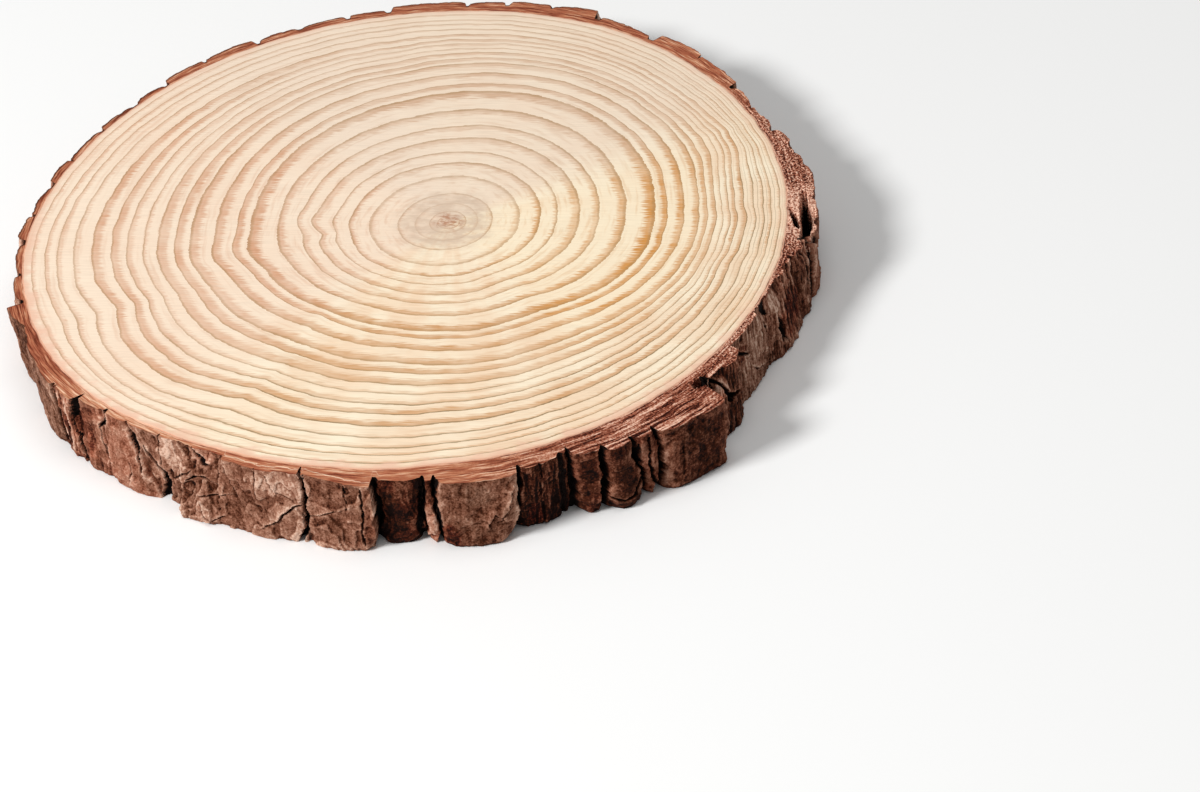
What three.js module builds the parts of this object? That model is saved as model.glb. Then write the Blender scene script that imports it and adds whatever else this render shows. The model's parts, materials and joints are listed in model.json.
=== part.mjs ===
// A cross-cut slice of a pine trunk: a sawn disc of wood inside its ring of bark.
// Millimetres, +Z up. The slice lies on Z = 0 and its box is centred on the Z axis.
// Angles are in degrees, counterclockwise seen from above, from +X.

import * as THREE from "three";
import { mergeVertices } from "three/addons/utils/BufferGeometryUtils.js";

const THICKNESS = 21;

// The middle of the wood, seen from the middle of the slice's box.
const TRUNK_CENTRE = { x: -1.1, y: 1.6 };

// The wood's radius every 30 degrees round the trunk.
const WOOD_RADII = [103, 103.6, 105.2, 103.7, 103.1, 103.2, 105.1, 105, 102.6, 103.7, 105, 103.5];
const WOOD_POINTS = 144;

// The soft layer between wood and bark, and the least bark left at the bottom of a crack.
const CAMBIUM_GAP = 0.3;
const LEAST_BARK = 0.9;

// Bark plates in order round the trunk.
// from: where the plate starts; rise: bark thickness at its start and end, at the sawn top;
// flare: how much thicker the bark is at the foot; crack: depth of the crack before the plate;
// gape: half the crack's width, in degrees; lean: how far the crack's foot is turned from its top.
const PLATES = [
  { from: 6, rise: [7.4, 4.4], flare: 0.4, crack: 0, gape: 0.6, lean: 0 },
  { from: 16, rise: [3.3, 3.6], flare: 0.8, crack: 0.9, gape: 0.6, lean: 0.6 },
  { from: 22.5, rise: [3.2, 3.3], flare: 1.4, crack: 1.2, gape: 0.5, lean: -0.8 },
  { from: 28.6, rise: [4.7, 5.6], flare: 0.4, crack: 2, gape: 0.6, lean: -0.5 },
  { from: 39, rise: [6, 5.3], flare: 0.9, crack: 2.2, gape: 0.5, lean: 0.7 },
  { from: 48, rise: [3, 4.3], flare: 0.6, crack: 1.6, gape: 0.7, lean: 0.4 },
  { from: 58.5, rise: [6.8, 5.8], flare: 0, crack: 2.6, gape: 0.6, lean: 0.8 },
  { from: 66, rise: [5.8, 5.2], flare: 0.5, crack: 2.4, gape: 0.5, lean: -0.6 },
  { from: 74, rise: [4.8, 4.2], flare: 1.1, crack: 1.8, gape: 0.5, lean: 0.9 },
  { from: 80, rise: [4.9, 4.6], flare: 0.4, crack: 1.4, gape: 0.6, lean: 0.5 },
  { from: 92, rise: [3.6, 3.2], flare: 0.8, crack: 2.6, gape: 0.7, lean: -0.4 },
  { from: 99, rise: [3.2, 3.1], flare: 1.6, crack: 1.2, gape: 0.5, lean: 0.8 },
  { from: 107, rise: [3.1, 2.6], flare: 1, crack: 0.8, gape: 0.5, lean: 0.6 },
  { from: 114, rise: [4.1, 3.7], flare: 0.4, crack: 2.6, gape: 0.7, lean: 0 },
  { from: 123, rise: [3.7, 3.4], flare: 1, crack: 1.8, gape: 0.5, lean: -0.9 },
  { from: 131.5, rise: [1.8, 1.9], flare: 1.8, crack: 1.2, gape: 0.7, lean: 0.7 },
  { from: 138.5, rise: [1.7, 2], flare: 1.2, crack: 0.7, gape: 0.5, lean: 0.3 },
  { from: 146, rise: [1.5, 2.2], flare: 1.8, crack: 0.8, gape: 0.6, lean: -0.6 },
  { from: 155, rise: [2.6, 2.2], flare: 1, crack: 1.2, gape: 0.5, lean: 0.7 },
  { from: 162, rise: [1.2, 2.4], flare: 1.6, crack: 0.8, gape: 0.6, lean: 0.4 },
  { from: 169, rise: [2.9, 2.6], flare: 0.8, crack: 1.3, gape: 0.5, lean: -0.5 },
  { from: 176, rise: [2, 2.2], flare: 1.2, crack: 1.2, gape: 0.6, lean: 0.5 },
  { from: 184, rise: [2.6, 2.6], flare: 0.6, crack: 1.3, gape: 0.5, lean: 0.6 },
  { from: 191.5, rise: [6.2, 3.2], flare: -1.6, crack: 1.6, gape: 0.5, lean: 1.2 },
  { from: 197, rise: [2.8, 6], flare: -0.5, crack: 0, gape: 0.6, lean: 1 },
  { from: 214.2, rise: [3.4, 3], flare: 1, crack: 2, gape: 0.6, lean: 0.2 },
  { from: 217.4, rise: [3.2, 2.8], flare: 1.6, crack: 2.2, gape: 0.6, lean: 0.4 },
  { from: 222, rise: [2.6, 2.4], flare: 1.8, crack: 1.8, gape: 0.5, lean: 0.6 },
  { from: 228, rise: [2.2, 2], flare: 0.6, crack: 1.4, gape: 0.6, lean: 2.4 },
  { from: 232.6, rise: [1.7, 2.2], flare: 4.2, crack: 1.2, gape: 0.7, lean: 0.8 },
  { from: 241, rise: [3.7, 4.1], flare: 2.2, crack: 0.9, gape: 0.6, lean: -0.4 },
  { from: 254.3, rise: [4.2, 8], flare: 1.4, crack: 3.2, gape: 0.8, lean: 0 },
  { from: 264.6, rise: [4.4, 5.2], flare: -0.8, crack: 2.6, gape: 0.6, lean: 0.4 },
  { from: 271.4, rise: [7.7, 9], flare: 0.8, crack: 3, gape: 0.6, lean: -0.4 },
  { from: 283.6, rise: [7.2, 4.6], flare: -1, crack: 3.6, gape: 0.6, lean: 0.6 },
  { from: 290.6, rise: [9.4, 11], flare: -2.6, crack: 2.8, gape: 0.6, lean: 0.6 },
  { from: 295.2, rise: [11.2, 9.8], flare: -0.4, crack: 5.2, gape: 0.5, lean: 0.4 },
  { from: 299.6, rise: [9.8, 10.4], flare: -0.6, crack: 6.4, gape: 0.5, lean: 0.5 },
  { from: 301.8, rise: [12.4, 13.4], flare: -1.4, crack: 7, gape: 0.5, lean: 0.4 },
  { from: 313, rise: [5.8, 5.8], flare: 1.4, crack: 3.4, gape: 0.7, lean: 0.6 },
  { from: 321, rise: [2, 1.5], flare: 1.2, crack: 0.8, gape: 0.7, lean: 0 },
  { from: 332, rise: [1.4, 3], flare: 3.2, crack: 0, gape: 0.8, lean: 0 },
  { from: 343, rise: [4.6, 5.6], flare: 2.4, crack: 1, gape: 0.6, lean: 0.4 },
  { from: 351, rise: [7.6, 8], flare: 0.4, crack: 1.4, gape: 0.6, lean: -0.5 },
];

// The widest step between two columns of a plate, in degrees, and the heights of the wall's rows.
const COLUMN_STEP = 1.3;
const LEVELS = [0, 0.08, 0.2, 0.35, 0.5, 0.65, 0.8, 0.92, 1];

// How far a plate swells between its edges.
const SWELL = 0.5;

// A plate is a pack of thin scales, and part of the outermost one has dropped off along a slanting line.
// How thick a scale is, how far the line slants across a plate, and the height of the broken edge,
// the last two as shares of the slice's thickness.
const SCALE_THICKNESS = 0.8;
const SCALE_SLANT = 0.7;
const SCALE_EDGE = 0.06;

// Fine unevenness: its depth, and for each of its waves how many go round the trunk,
// how far it drifts from foot to top and where it starts, in radians.
const RIPPLE = 0.3;
const LONG_WAVE = { round: 23, drift: 3.1, start: 0 };
const SHORT_WAVE = { round: 71, drift: -2.3, start: 1.3 };

// A step that never falls into a short repeat, to vary one plate from the next.
const GOLDEN_STEP = 0.618;

const radians = THREE.MathUtils.degToRad;
const mix = THREE.MathUtils.lerp;

// The wood's radius at any angle, by a smooth closed curve through the given radii.
function woodRadius(angle) {
  const count = WOOD_RADII.length;
  const place = (THREE.MathUtils.euclideanModulo(angle, 360) * count) / 360;
  const first = Math.floor(place);
  const t = place - first;
  const [a, b, c, d] = [-1, 0, 1, 2].map((step) => WOOD_RADII[(first + step + count) % count]);
  const slopeB = (c - a) / 2;
  const slopeC = (d - b) / 2;
  const bend = 3 * (c - b) - 2 * slopeB - slopeC;
  const twist = 2 * (b - c) + slopeB + slopeC;
  return b + slopeB * t + bend * t * t + twist * t * t * t;
}

function wave(kind, angle, level) {
  return Math.sin(kind.round * radians(angle) + kind.drift * level + kind.start);
}

// Fine unevenness of the bark.
function ripple(angle, level) {
  return RIPPLE * wave(LONG_WAVE, angle, level) * wave(SHORT_WAVE, angle, level);
}

// How much bark is missing where the outermost scale of a plate has dropped off.
function scaleLoss(index, across, level) {
  const vary = (index * GOLDEN_STEP) % 1;
  const slant = SCALE_SLANT * (vary - 0.5);
  const line = mix(0.25, 0.75, vary) + slant * (across - 0.5);
  const above = THREE.MathUtils.smoothstep(level, line - SCALE_EDGE, line + SCALE_EDGE);
  return SCALE_THICKNESS * (index % 2 === 0 ? above : 1 - above);
}

// Where the crack before a plate runs at a level from 0 at the foot to 1 at the top.
function crackAngle(index, level) {
  const plate = PLATES[index % PLATES.length];
  const lap = index >= PLATES.length ? 360 : 0;
  return plate.from + lap + plate.lean * (0.5 - level);
}

// Bark thickness left at the bottom of the crack before a plate.
function crackFloor(index, level) {
  const plate = PLATES[index % PLATES.length];
  const before = PLATES[(index - 1 + PLATES.length) % PLATES.length];
  const left = before.rise[1] + before.flare * (1 - level);
  const right = plate.rise[0] + plate.flare * (1 - level);
  return Math.max(LEAST_BARK, Math.min(left, right) - plate.crack);
}

// Bark thickness on a plate, at a share of the way across it and a level.
function plateRise(index, across, level) {
  const plate = PLATES[index];
  const flat = mix(plate.rise[0], plate.rise[1], across) + plate.flare * (1 - level);
  return flat + SWELL * Math.sin(Math.PI * across) - scaleLoss(index, across, level);
}

// The columns of one plate: its crack, then evenly spaced from one shoulder to the other.
function plateColumns(index) {
  const plate = PLATES[index];
  const next = PLATES[(index + 1) % PLATES.length];
  const width = crackAngle(index + 1, 0.5) - plate.from;
  const first = plate.gape / width;
  const last = 1 - next.gape / width;
  const steps = Math.max(2, Math.ceil(((last - first) * width) / COLUMN_STEP));
  const columns = [{ index, across: 0, crack: true }];
  for (let step = 0; step <= steps; step += 1) {
    columns.push({ index, across: mix(first, last, step / steps), crack: false });
  }
  return columns;
}

// A point of the bark's outer wall.
function barkPoint(column, level) {
  const start = crackAngle(column.index, level);
  const end = crackAngle(column.index + 1, level);
  const angle = mix(start, end, column.across);
  let rise = crackFloor(column.index, level);
  if (!column.crack) {
    rise = plateRise(column.index, column.across, level) + ripple(angle, level);
  }
  const radius = woodRadius(angle) + CAMBIUM_GAP + Math.max(LEAST_BARK, rise);
  return { angle, radius, z: level * THICKNESS };
}

// The disc between the two saw cuts.
function woodGeometry() {
  const outline = new THREE.Shape();
  for (let point = 0; point < WOOD_POINTS; point += 1) {
    const angle = (360 * point) / WOOD_POINTS;
    const radius = woodRadius(angle);
    const x = radius * Math.cos(radians(angle));
    const y = radius * Math.sin(radians(angle));
    if (point === 0) {
      outline.moveTo(x, y);
    } else {
      outline.lineTo(x, y);
    }
  }
  outline.closePath();
  return new THREE.ExtrudeGeometry(outline, { depth: THICKNESS, bevelEnabled: false });
}

// The ring of bark: a closed section turned round the trunk, its outer wall moved out to the plates.
function barkGeometry() {
  const columns = PLATES.flatMap((plate, index) => plateColumns(index));
  const [inner, outer] = [1, 2];
  const section = LEVELS.map((level) => new THREE.Vector2(outer, level * THICKNESS));
  section.unshift(new THREE.Vector2(inner, 0));
  section.push(new THREE.Vector2(inner, THICKNESS), new THREE.Vector2(inner, 0));
  const ring = new THREE.LatheGeometry(section, columns.length);
  const position = ring.getAttribute("position");
  for (let vertex = 0; vertex < position.count; vertex += 1) {
    const row = vertex % section.length;
    const column = columns[Math.floor(vertex / section.length) % columns.length];
    const { angle, radius, z } = barkPoint(column, section[row].y / THICKNESS);
    const reach = section[row].x === inner ? woodRadius(angle) + CAMBIUM_GAP : radius;
    position.setXYZ(vertex, reach * Math.cos(radians(angle)), reach * Math.sin(radians(angle)), z);
  }
  ring.deleteAttribute("uv");
  ring.deleteAttribute("normal");
  const closed = mergeVertices(ring);
  closed.computeVertexNormals();
  return closed;
}

function namedMesh(name, geometry, color, roughness) {
  const material = new THREE.MeshStandardMaterial({ color, roughness, metalness: 0 });
  const mesh = new THREE.Mesh(geometry, material);
  mesh.name = name;
  mesh.position.set(TRUNK_CENTRE.x, TRUNK_CENTRE.y, 0);
  return mesh;
}

const slice = new THREE.Group();
slice.name = "wood_slice";
slice.add(namedMesh("wood", woodGeometry(), 0xefd3b5, 0.6));
slice.add(namedMesh("bark", barkGeometry(), 0x6f4a3a, 0.9));

export default slice;
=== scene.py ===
"""A cross-cut slice of pine trunk: a sanded disc of wood inside its ring of plated bark.

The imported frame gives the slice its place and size, and this script gives it its looks.
Sizes are in millimetres and angles in degrees, counterclockwise seen from above, from +X.
MM turns millimetres into the scene's metres.
"""

import json
import logging
import math
from collections.abc import Callable
from dataclasses import dataclass
from enum import Enum
from functools import partial
from pathlib import Path
from typing import Any

import bmesh
import bpy
import numpy as np
from mathutils import Matrix, Vector, noise
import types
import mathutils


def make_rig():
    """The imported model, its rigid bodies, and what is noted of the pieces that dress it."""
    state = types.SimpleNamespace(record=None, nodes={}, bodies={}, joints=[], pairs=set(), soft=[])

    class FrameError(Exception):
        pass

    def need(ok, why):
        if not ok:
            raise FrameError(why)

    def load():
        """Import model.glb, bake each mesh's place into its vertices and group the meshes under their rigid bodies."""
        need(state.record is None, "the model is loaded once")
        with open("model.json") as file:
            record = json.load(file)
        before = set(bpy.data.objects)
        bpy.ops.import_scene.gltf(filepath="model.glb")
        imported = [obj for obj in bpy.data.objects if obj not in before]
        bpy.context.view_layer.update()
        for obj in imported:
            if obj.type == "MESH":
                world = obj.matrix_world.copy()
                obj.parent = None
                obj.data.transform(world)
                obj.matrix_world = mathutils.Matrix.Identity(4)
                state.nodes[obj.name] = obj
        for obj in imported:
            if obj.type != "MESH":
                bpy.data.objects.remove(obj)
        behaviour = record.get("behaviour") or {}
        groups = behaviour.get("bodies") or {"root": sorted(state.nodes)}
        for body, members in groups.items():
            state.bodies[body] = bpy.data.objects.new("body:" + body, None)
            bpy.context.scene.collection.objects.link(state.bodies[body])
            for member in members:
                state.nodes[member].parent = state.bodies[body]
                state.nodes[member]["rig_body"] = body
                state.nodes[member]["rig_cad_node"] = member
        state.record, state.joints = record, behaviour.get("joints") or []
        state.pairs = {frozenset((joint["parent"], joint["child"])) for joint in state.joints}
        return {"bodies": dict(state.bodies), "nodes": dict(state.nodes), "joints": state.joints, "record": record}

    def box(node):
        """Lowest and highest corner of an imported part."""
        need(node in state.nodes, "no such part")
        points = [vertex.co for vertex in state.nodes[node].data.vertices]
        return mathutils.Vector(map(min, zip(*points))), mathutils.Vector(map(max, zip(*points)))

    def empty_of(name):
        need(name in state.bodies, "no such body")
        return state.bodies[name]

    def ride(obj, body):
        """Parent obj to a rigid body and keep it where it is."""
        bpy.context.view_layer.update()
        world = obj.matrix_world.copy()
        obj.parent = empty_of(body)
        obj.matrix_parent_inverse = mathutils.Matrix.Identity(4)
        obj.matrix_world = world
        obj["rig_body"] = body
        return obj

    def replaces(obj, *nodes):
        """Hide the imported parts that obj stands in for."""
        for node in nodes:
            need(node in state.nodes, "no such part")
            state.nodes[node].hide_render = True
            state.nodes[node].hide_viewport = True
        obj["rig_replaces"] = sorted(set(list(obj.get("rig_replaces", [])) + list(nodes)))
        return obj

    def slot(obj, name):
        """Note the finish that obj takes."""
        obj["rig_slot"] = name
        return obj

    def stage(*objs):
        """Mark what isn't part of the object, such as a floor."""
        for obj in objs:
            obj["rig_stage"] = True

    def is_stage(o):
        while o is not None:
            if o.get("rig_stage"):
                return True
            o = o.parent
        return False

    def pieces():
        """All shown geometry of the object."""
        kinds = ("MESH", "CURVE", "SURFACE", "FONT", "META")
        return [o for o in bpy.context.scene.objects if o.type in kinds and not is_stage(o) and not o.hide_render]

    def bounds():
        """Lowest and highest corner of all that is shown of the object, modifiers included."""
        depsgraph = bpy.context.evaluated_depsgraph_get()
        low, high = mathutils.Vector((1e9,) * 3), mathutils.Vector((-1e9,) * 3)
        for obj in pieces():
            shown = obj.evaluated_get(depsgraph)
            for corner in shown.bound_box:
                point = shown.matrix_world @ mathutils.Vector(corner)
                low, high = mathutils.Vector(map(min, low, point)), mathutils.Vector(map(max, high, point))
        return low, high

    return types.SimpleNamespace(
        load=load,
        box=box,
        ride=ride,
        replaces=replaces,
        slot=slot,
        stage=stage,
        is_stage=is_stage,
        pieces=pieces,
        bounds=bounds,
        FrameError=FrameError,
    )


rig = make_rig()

LOG = logging.getLogger("wood_slice")
MM = 0.001
SIZE_FILE = Path("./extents.json")
Array = np.ndarray
Socket = bpy.types.NodeSocket
Stops = tuple[tuple[float, str], ...]

# How near to an edge of the bark, as a share of its size, a vertex counts as on it.
TOUCH = 1e-3

# The setting that tells nodes of one type apart, for the types that are used here.
NODE_OPTIONS = {
    "Attribute": "attribute_name",
    "MapRange": "interpolation_type",
    "Mapping": "vector_type",
    "Math": "operation",
    "Mix": "data_type",
    "VectorMath": "operation",
}


def linear(colour: str) -> tuple[float, float, float, float]:
    """Turn an sRGB hex colour into linear light.

    Args:
        colour: Six hex digits after a hash sign.

    Returns:
        Red, green, blue and alpha.
    """
    parts = [int(colour[i : i + 2], 16) / 255 for i in (1, 3, 5)]
    light = [c / 12.92 if c <= 0.04045 else ((c + 0.055) / 1.055) ** 2.4 for c in parts]
    return (*light, 1.0)


class Surface:
    """A material in the making: its node tree and the shader that ends it."""

    def __init__(self, name: str, roughness: float, specular: float) -> None:
        """Start a material that has its gloss and no colour yet."""
        self.material = bpy.data.materials.new(name)
        self.material.use_nodes = True
        self.tree = self.material.node_tree
        self.shader = self.tree.nodes["Principled BSDF"]
        self.shader.inputs["Roughness"].default_value = roughness
        self.shader.inputs["Specular IOR Level"].default_value = specular

    def add(self, kind: str, option: Any, *values: Any, output: str = "", **named: Any) -> Socket:
        """Add a node with its settings and links.

        Args:
            kind: The node's type, without its ShaderNode prefix.
            option: What tells it from others of its type, or None. A colour ramp's is its stops.
            values: Numbers and colours, or outputs to link from, for its inputs in their order.
            output: The output that is wanted, if not the first.
            named: More values, for inputs by their names.

        Returns:
            The wanted output.
        """
        node = self.tree.nodes.new(f"ShaderNode{kind}")
        if kind == "ValToRGB":
            elements = node.color_ramp.elements
            while len(elements) < len(option):
                elements.new(1.0)
            for element, (place, colour) in zip(elements, option):
                element.position = place
                element.color = linear(colour)
        elif option is not None:
            setattr(node, NODE_OPTIONS[kind], option)
        in_use = [socket for socket in node.inputs if socket.enabled]
        by_name = [(node.inputs[name], value) for name, value in named.items()]
        for socket, value in [*zip(in_use, values), *by_name]:
            if isinstance(value, Socket):
                self.tree.links.new(value, socket)
            else:
                socket.default_value = value
        return node.outputs[output] if output else next(s for s in node.outputs if s.enabled)

    def grain(
        self, source: Socket, scale: tuple[float, float, float], detail: float, roughness: float = 0.5
    ) -> Socket:
        """Lay noise over a source of coordinates, which are scaled first."""
        scaled = self.add("Mapping", "POINT", source, Scale=scale)
        return self.add("TexNoise", None, scaled, Scale=1.0, Detail=detail, Roughness=roughness)

    def towards(self, around: Socket, side: float, low: float, high: float) -> Socket:
        """Find what faces one side of the trunk: 0 below the low cosine and 1 above the high one."""
        way = (math.cos(math.radians(side)), math.sin(math.radians(side)), 0.0)
        cosine = self.add("VectorMath", "DOT_PRODUCT", around, way)
        return self.add("MapRange", "SMOOTHSTEP", cosine, low, high, 0, 1)

    def end(self, colour: Socket, height: Socket, strength: float, depth: float) -> bpy.types.Material:
        """Link the colour and a bump of a depth in millimetres to the shader.

        Args:
            colour: The base colour.
            height: The height that the bump follows.
            strength: How strongly it does so.
            depth: What a height of 1 is worth.

        Returns:
            The finished material.
        """
        bump = self.add("Bump", None, Height=height, Strength=strength, Distance=depth * MM)
        self.tree.links.new(colour, self.shader.inputs["Base Color"])
        self.tree.links.new(bump, self.shader.inputs["Normal"])
        return self.material


def smooth_step(value: Array, low: Array | float, high: Array | float) -> Array:
    """Ease from 0 at low to 1 at high."""
    share = np.clip((value - low) / (high - low), 0.0, 1.0)
    return share * share * (3.0 - 2.0 * share)


def bell(distance: Array, width: float) -> Array:
    """Fall from 1 at a distance of 0, over about a width, to 0."""
    return np.exp(-np.square(distance / width))


def turned_off(angle: Array, middle: float) -> Array:
    """Find how far angles are turned from a middle one, between -180 and 180."""
    return np.mod(angle - middle + 180, 360) - 180


def blend(first: Array | float, second: Array | float, share: Array) -> Array:
    """Mix two values by a share."""
    return first + (second - first) * share


def cloud(points: Array, size: float, octaves: int, shift: float = 0.0) -> Array:
    """Sample soft fractal noise.

    Args:
        points: Places in millimetres, one a row.
        size: Width of the largest lumps.
        octaves: How many finer layers are added.
        shift: Moves the pattern, so that two uses differ.

    Returns:
        Values around 0, mostly between -1 and 1.
    """
    scaled = points / size + shift
    return np.array([noise.fractal(Vector(p), 0.9, 2.0, octaves) for p in scaled])


def store(mesh: bpy.types.Mesh, name: str, values: Array, domain: str = "POINT") -> None:
    """Keep numbers, or vectors if values has three columns, as an attribute of a mesh."""
    vector = values.ndim == 2
    attribute = mesh.attributes.new(name, "FLOAT_VECTOR" if vector else "FLOAT", domain)
    attribute.data.foreach_set("vector" if vector else "value", values.astype(np.float32).ravel())


def softened(grid: Array, passes: int) -> Array:
    """Blur a grid that closes on itself from its last column to its first.

    Args:
        grid: The values, a row for each height.
        passes: How often each value is mixed with its neighbours.

    Returns:
        The blurred grid.
    """
    for _ in range(passes):
        grid = (np.roll(grid, 1, axis=1) + 2 * grid + np.roll(grid, -1, axis=1)) / 4
        higher, lower = np.vstack([grid[1:], grid[-1:]]), np.vstack([grid[:1], grid[:-1]])
        grid = (higher + 2 * grid + lower) / 4
    return grid


def mesh_points(mesh: bpy.types.Mesh) -> Array:
    """Read a mesh's points, one a row."""
    flat = np.empty(len(mesh.vertices) * 3)
    mesh.vertices.foreach_get("co", flat)
    return flat.reshape(-1, 3)


def rolled_mesh(
    name: str, outline: Array, columns: int, start: float = 0.0, span: float = 360.0
) -> bpy.types.Mesh:
    """Roll a flat sheet round the Z axis into a closed mesh.

    Args:
        name: The mesh's name.
        outline: Radius and height of each row of the sheet.
        columns: Steps round the axis.
        start: The angle at which the sheet starts.
        span: The angle that it covers; flat ends close less than a full turn.

    Returns:
        A mesh with merged seams and poles and its faces pointing out.
    """
    sheet = bmesh.new()
    rows = len(outline) - 1
    bmesh.ops.create_grid(sheet, x_segments=columns, y_segments=rows, size=0.5)
    for vertex in sheet.verts:
        turn = math.radians(start + (vertex.co.x + 0.5) * span)
        radius, height = outline[round((vertex.co.y + 0.5) * rows)]
        vertex.co = (radius * math.cos(turn), radius * math.sin(turn), height)
    bmesh.ops.remove_doubles(sheet, verts=sheet.verts[:], dist=1e-6)
    bmesh.ops.holes_fill(sheet, edges=[edge for edge in sheet.edges if edge.is_boundary], sides=0)
    bmesh.ops.recalc_face_normals(sheet, faces=sheet.faces[:])
    mesh = bpy.data.meshes.new(name)
    sheet.to_mesh(mesh)
    sheet.free()
    return mesh


def put_on(pieces: list[bpy.types.Object], material: bpy.types.Material, node: str) -> None:
    """Give pieces a finish and let them stand for a node, whose material slot has its name.

    Args:
        pieces: The finished pieces.
        material: What they are made of.
        node: The node's name.
    """
    for piece in pieces:
        piece.data.materials.append(material)
        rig.ride(piece, "root")
        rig.replaces(piece, node)
        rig.slot(piece, node)


def along(*corners: tuple[float, float, int]) -> Array:
    """Step along an outline.

    Args:
        corners: Radius and height of each corner, and the steps from it to the next.

    Returns:
        Radius and height of each step, one a row.
    """
    radii, heights, counts = zip(*corners)
    steps = np.concatenate([[0], np.cumsum(counts[:-1])])
    count = np.arange(steps[-1] + 1)
    return np.stack([np.interp(count, steps, values) for values in (radii, heights)], axis=1)


@dataclass(frozen=True)
class Trunk:
    """The trunk's cross-section: where the wood ends and where its pith lies."""

    thickness: float
    centre: tuple[float, float] = (-1.1, 1.6)
    pith: tuple[float, float] = (11.3, -1.4)
    wood_radii: tuple[float, ...] = (
        *(103.0, 103.6, 105.2, 103.7, 103.1, 103.2),
        *(105.1, 105.0, 102.6, 103.7, 105.0, 103.5),
    )
    waviness: float = 0.35
    wave_length: float = 9.0
    tries: int = 6

    def wood_radius(self, angle: Array) -> Array:
        """Find the wood's radius by a smooth closed curve through the given radii.

        Args:
            angle: Angles round the trunk's centre.

        Returns:
            Radii in millimetres.
        """
        radii = np.array(self.wood_radii, float)
        place = np.mod(angle, 360.0) * len(radii) / 360.0
        first = np.floor(place).astype(int)
        share = place - first
        a, b, c, d = (radii[(first + step) % len(radii)] for step in (-1, 0, 1, 2))
        slope_b, slope_c = (c - a) / 2, (d - b) / 2
        bend = 3 * (c - b) - 2 * slope_b - slope_c
        twist = 2 * (b - c) + slope_b + slope_c
        smooth = b + share * (slope_b + share * (bend + share * twist))
        turn = np.radians(angle)
        rim = np.stack([smooth * np.cos(turn), smooth * np.sin(turn), 0 * turn], axis=1)
        return smooth + self.waviness * cloud(rim, self.wave_length, 3)

    def reach(self, angle: Array) -> Array:
        """Find how far the wood's edge is from the pith.

        Args:
            angle: Angles round the pith.

        Returns:
            Distances in millimetres.
        """
        turn = np.radians(angle)
        way = np.stack([np.cos(turn), np.sin(turn)], axis=1)
        found = np.full(len(turn), float(np.mean(self.wood_radii)))
        for _ in range(self.tries):
            place = np.array(self.pith) + found[:, None] * way
            around = np.degrees(np.arctan2(place[:, 1], place[:, 0]))
            found += self.wood_radius(around) - np.hypot(place[:, 0], place[:, 1])
        return found


@dataclass(frozen=True)
class GrowthRing:
    """One year's growth: its outer edge as a share of the way from pith to bark,
    the share of it that is latewood, and how dark that latewood is."""

    edge: float
    latewood: float
    tone: float


@dataclass(frozen=True)
class Kink:
    """A place where the rings run out of round: its angle and half width in degrees, its middle and
    half depth as shares of the way from pith to bark, the push outwards, and how blunt it is."""

    angle: float
    width: float
    share: float
    depth: float
    push: float
    bluntness: float = 2.0


GROWTH_RINGS = (
    GrowthRing(0.016, 0.5, 0.7),
    GrowthRing(0.031, 0.4, 0.6),
    GrowthRing(0.05, 0.35, 0.5),
    GrowthRing(0.086, 0.3, 0.34),
    GrowthRing(0.128, 0.25, 0.42),
    GrowthRing(0.204, 0.3, 0.4),
    GrowthRing(0.257, 0.36, 0.75),
    GrowthRing(0.299, 0.3, 0.5),
    GrowthRing(0.353, 0.5, 0.62),
    GrowthRing(0.4, 0.45, 0.6),
    GrowthRing(0.465, 0.42, 0.75),
    GrowthRing(0.541, 0.5, 1.0),
    GrowthRing(0.572, 0.75, 0.9),
    GrowthRing(0.625, 0.56, 0.85),
    GrowthRing(0.678, 0.55, 0.75),
    GrowthRing(0.708, 0.8, 0.8),
    GrowthRing(0.744, 0.72, 0.72),
    GrowthRing(0.771, 0.4, 0.45),
    GrowthRing(0.802, 0.5, 0.58),
    GrowthRing(0.831, 0.7, 0.8),
    GrowthRing(0.867, 0.62, 0.85),
    GrowthRing(0.902, 0.36, 0.5),
    GrowthRing(0.933, 0.4, 0.52),
    GrowthRing(0.956, 0.5, 0.6),
    GrowthRing(0.985, 0.35, 0.5),
    GrowthRing(1.0, 0.6, 0.2),
)

KINKS = (
    Kink(195.5, 6, 0.9, 0.13, -0.034, 1.2),
    Kink(231, 5, 0.88, 0.15, -0.024, 1.2),
    Kink(213, 12, 0.88, 0.12, 0.012),
    Kink(185, 7, 0.58, 0.12, 0.02),
    Kink(181, 4, 0.35, 0.05, -0.014),
    Kink(170, 6, 0.36, 0.06, 0.014),
    Kink(226, 6, 0.62, 0.09, -0.012, 1.2),
    Kink(256, 7, 0.66, 0.1, -0.01),
    Kink(296, 12, 0.5, 0.25, -0.02),
    Kink(334, 22, 0.55, 0.22, 0.026),
    Kink(20, 9, 0.84, 0.16, 0.018),
    Kink(3, 8, 0.8, 0.16, -0.014),
    Kink(338, 6, 0.84, 0.08, -0.012, 1.2),
    Kink(100, 6, 0.72, 0.2, -0.008),
)


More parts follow.
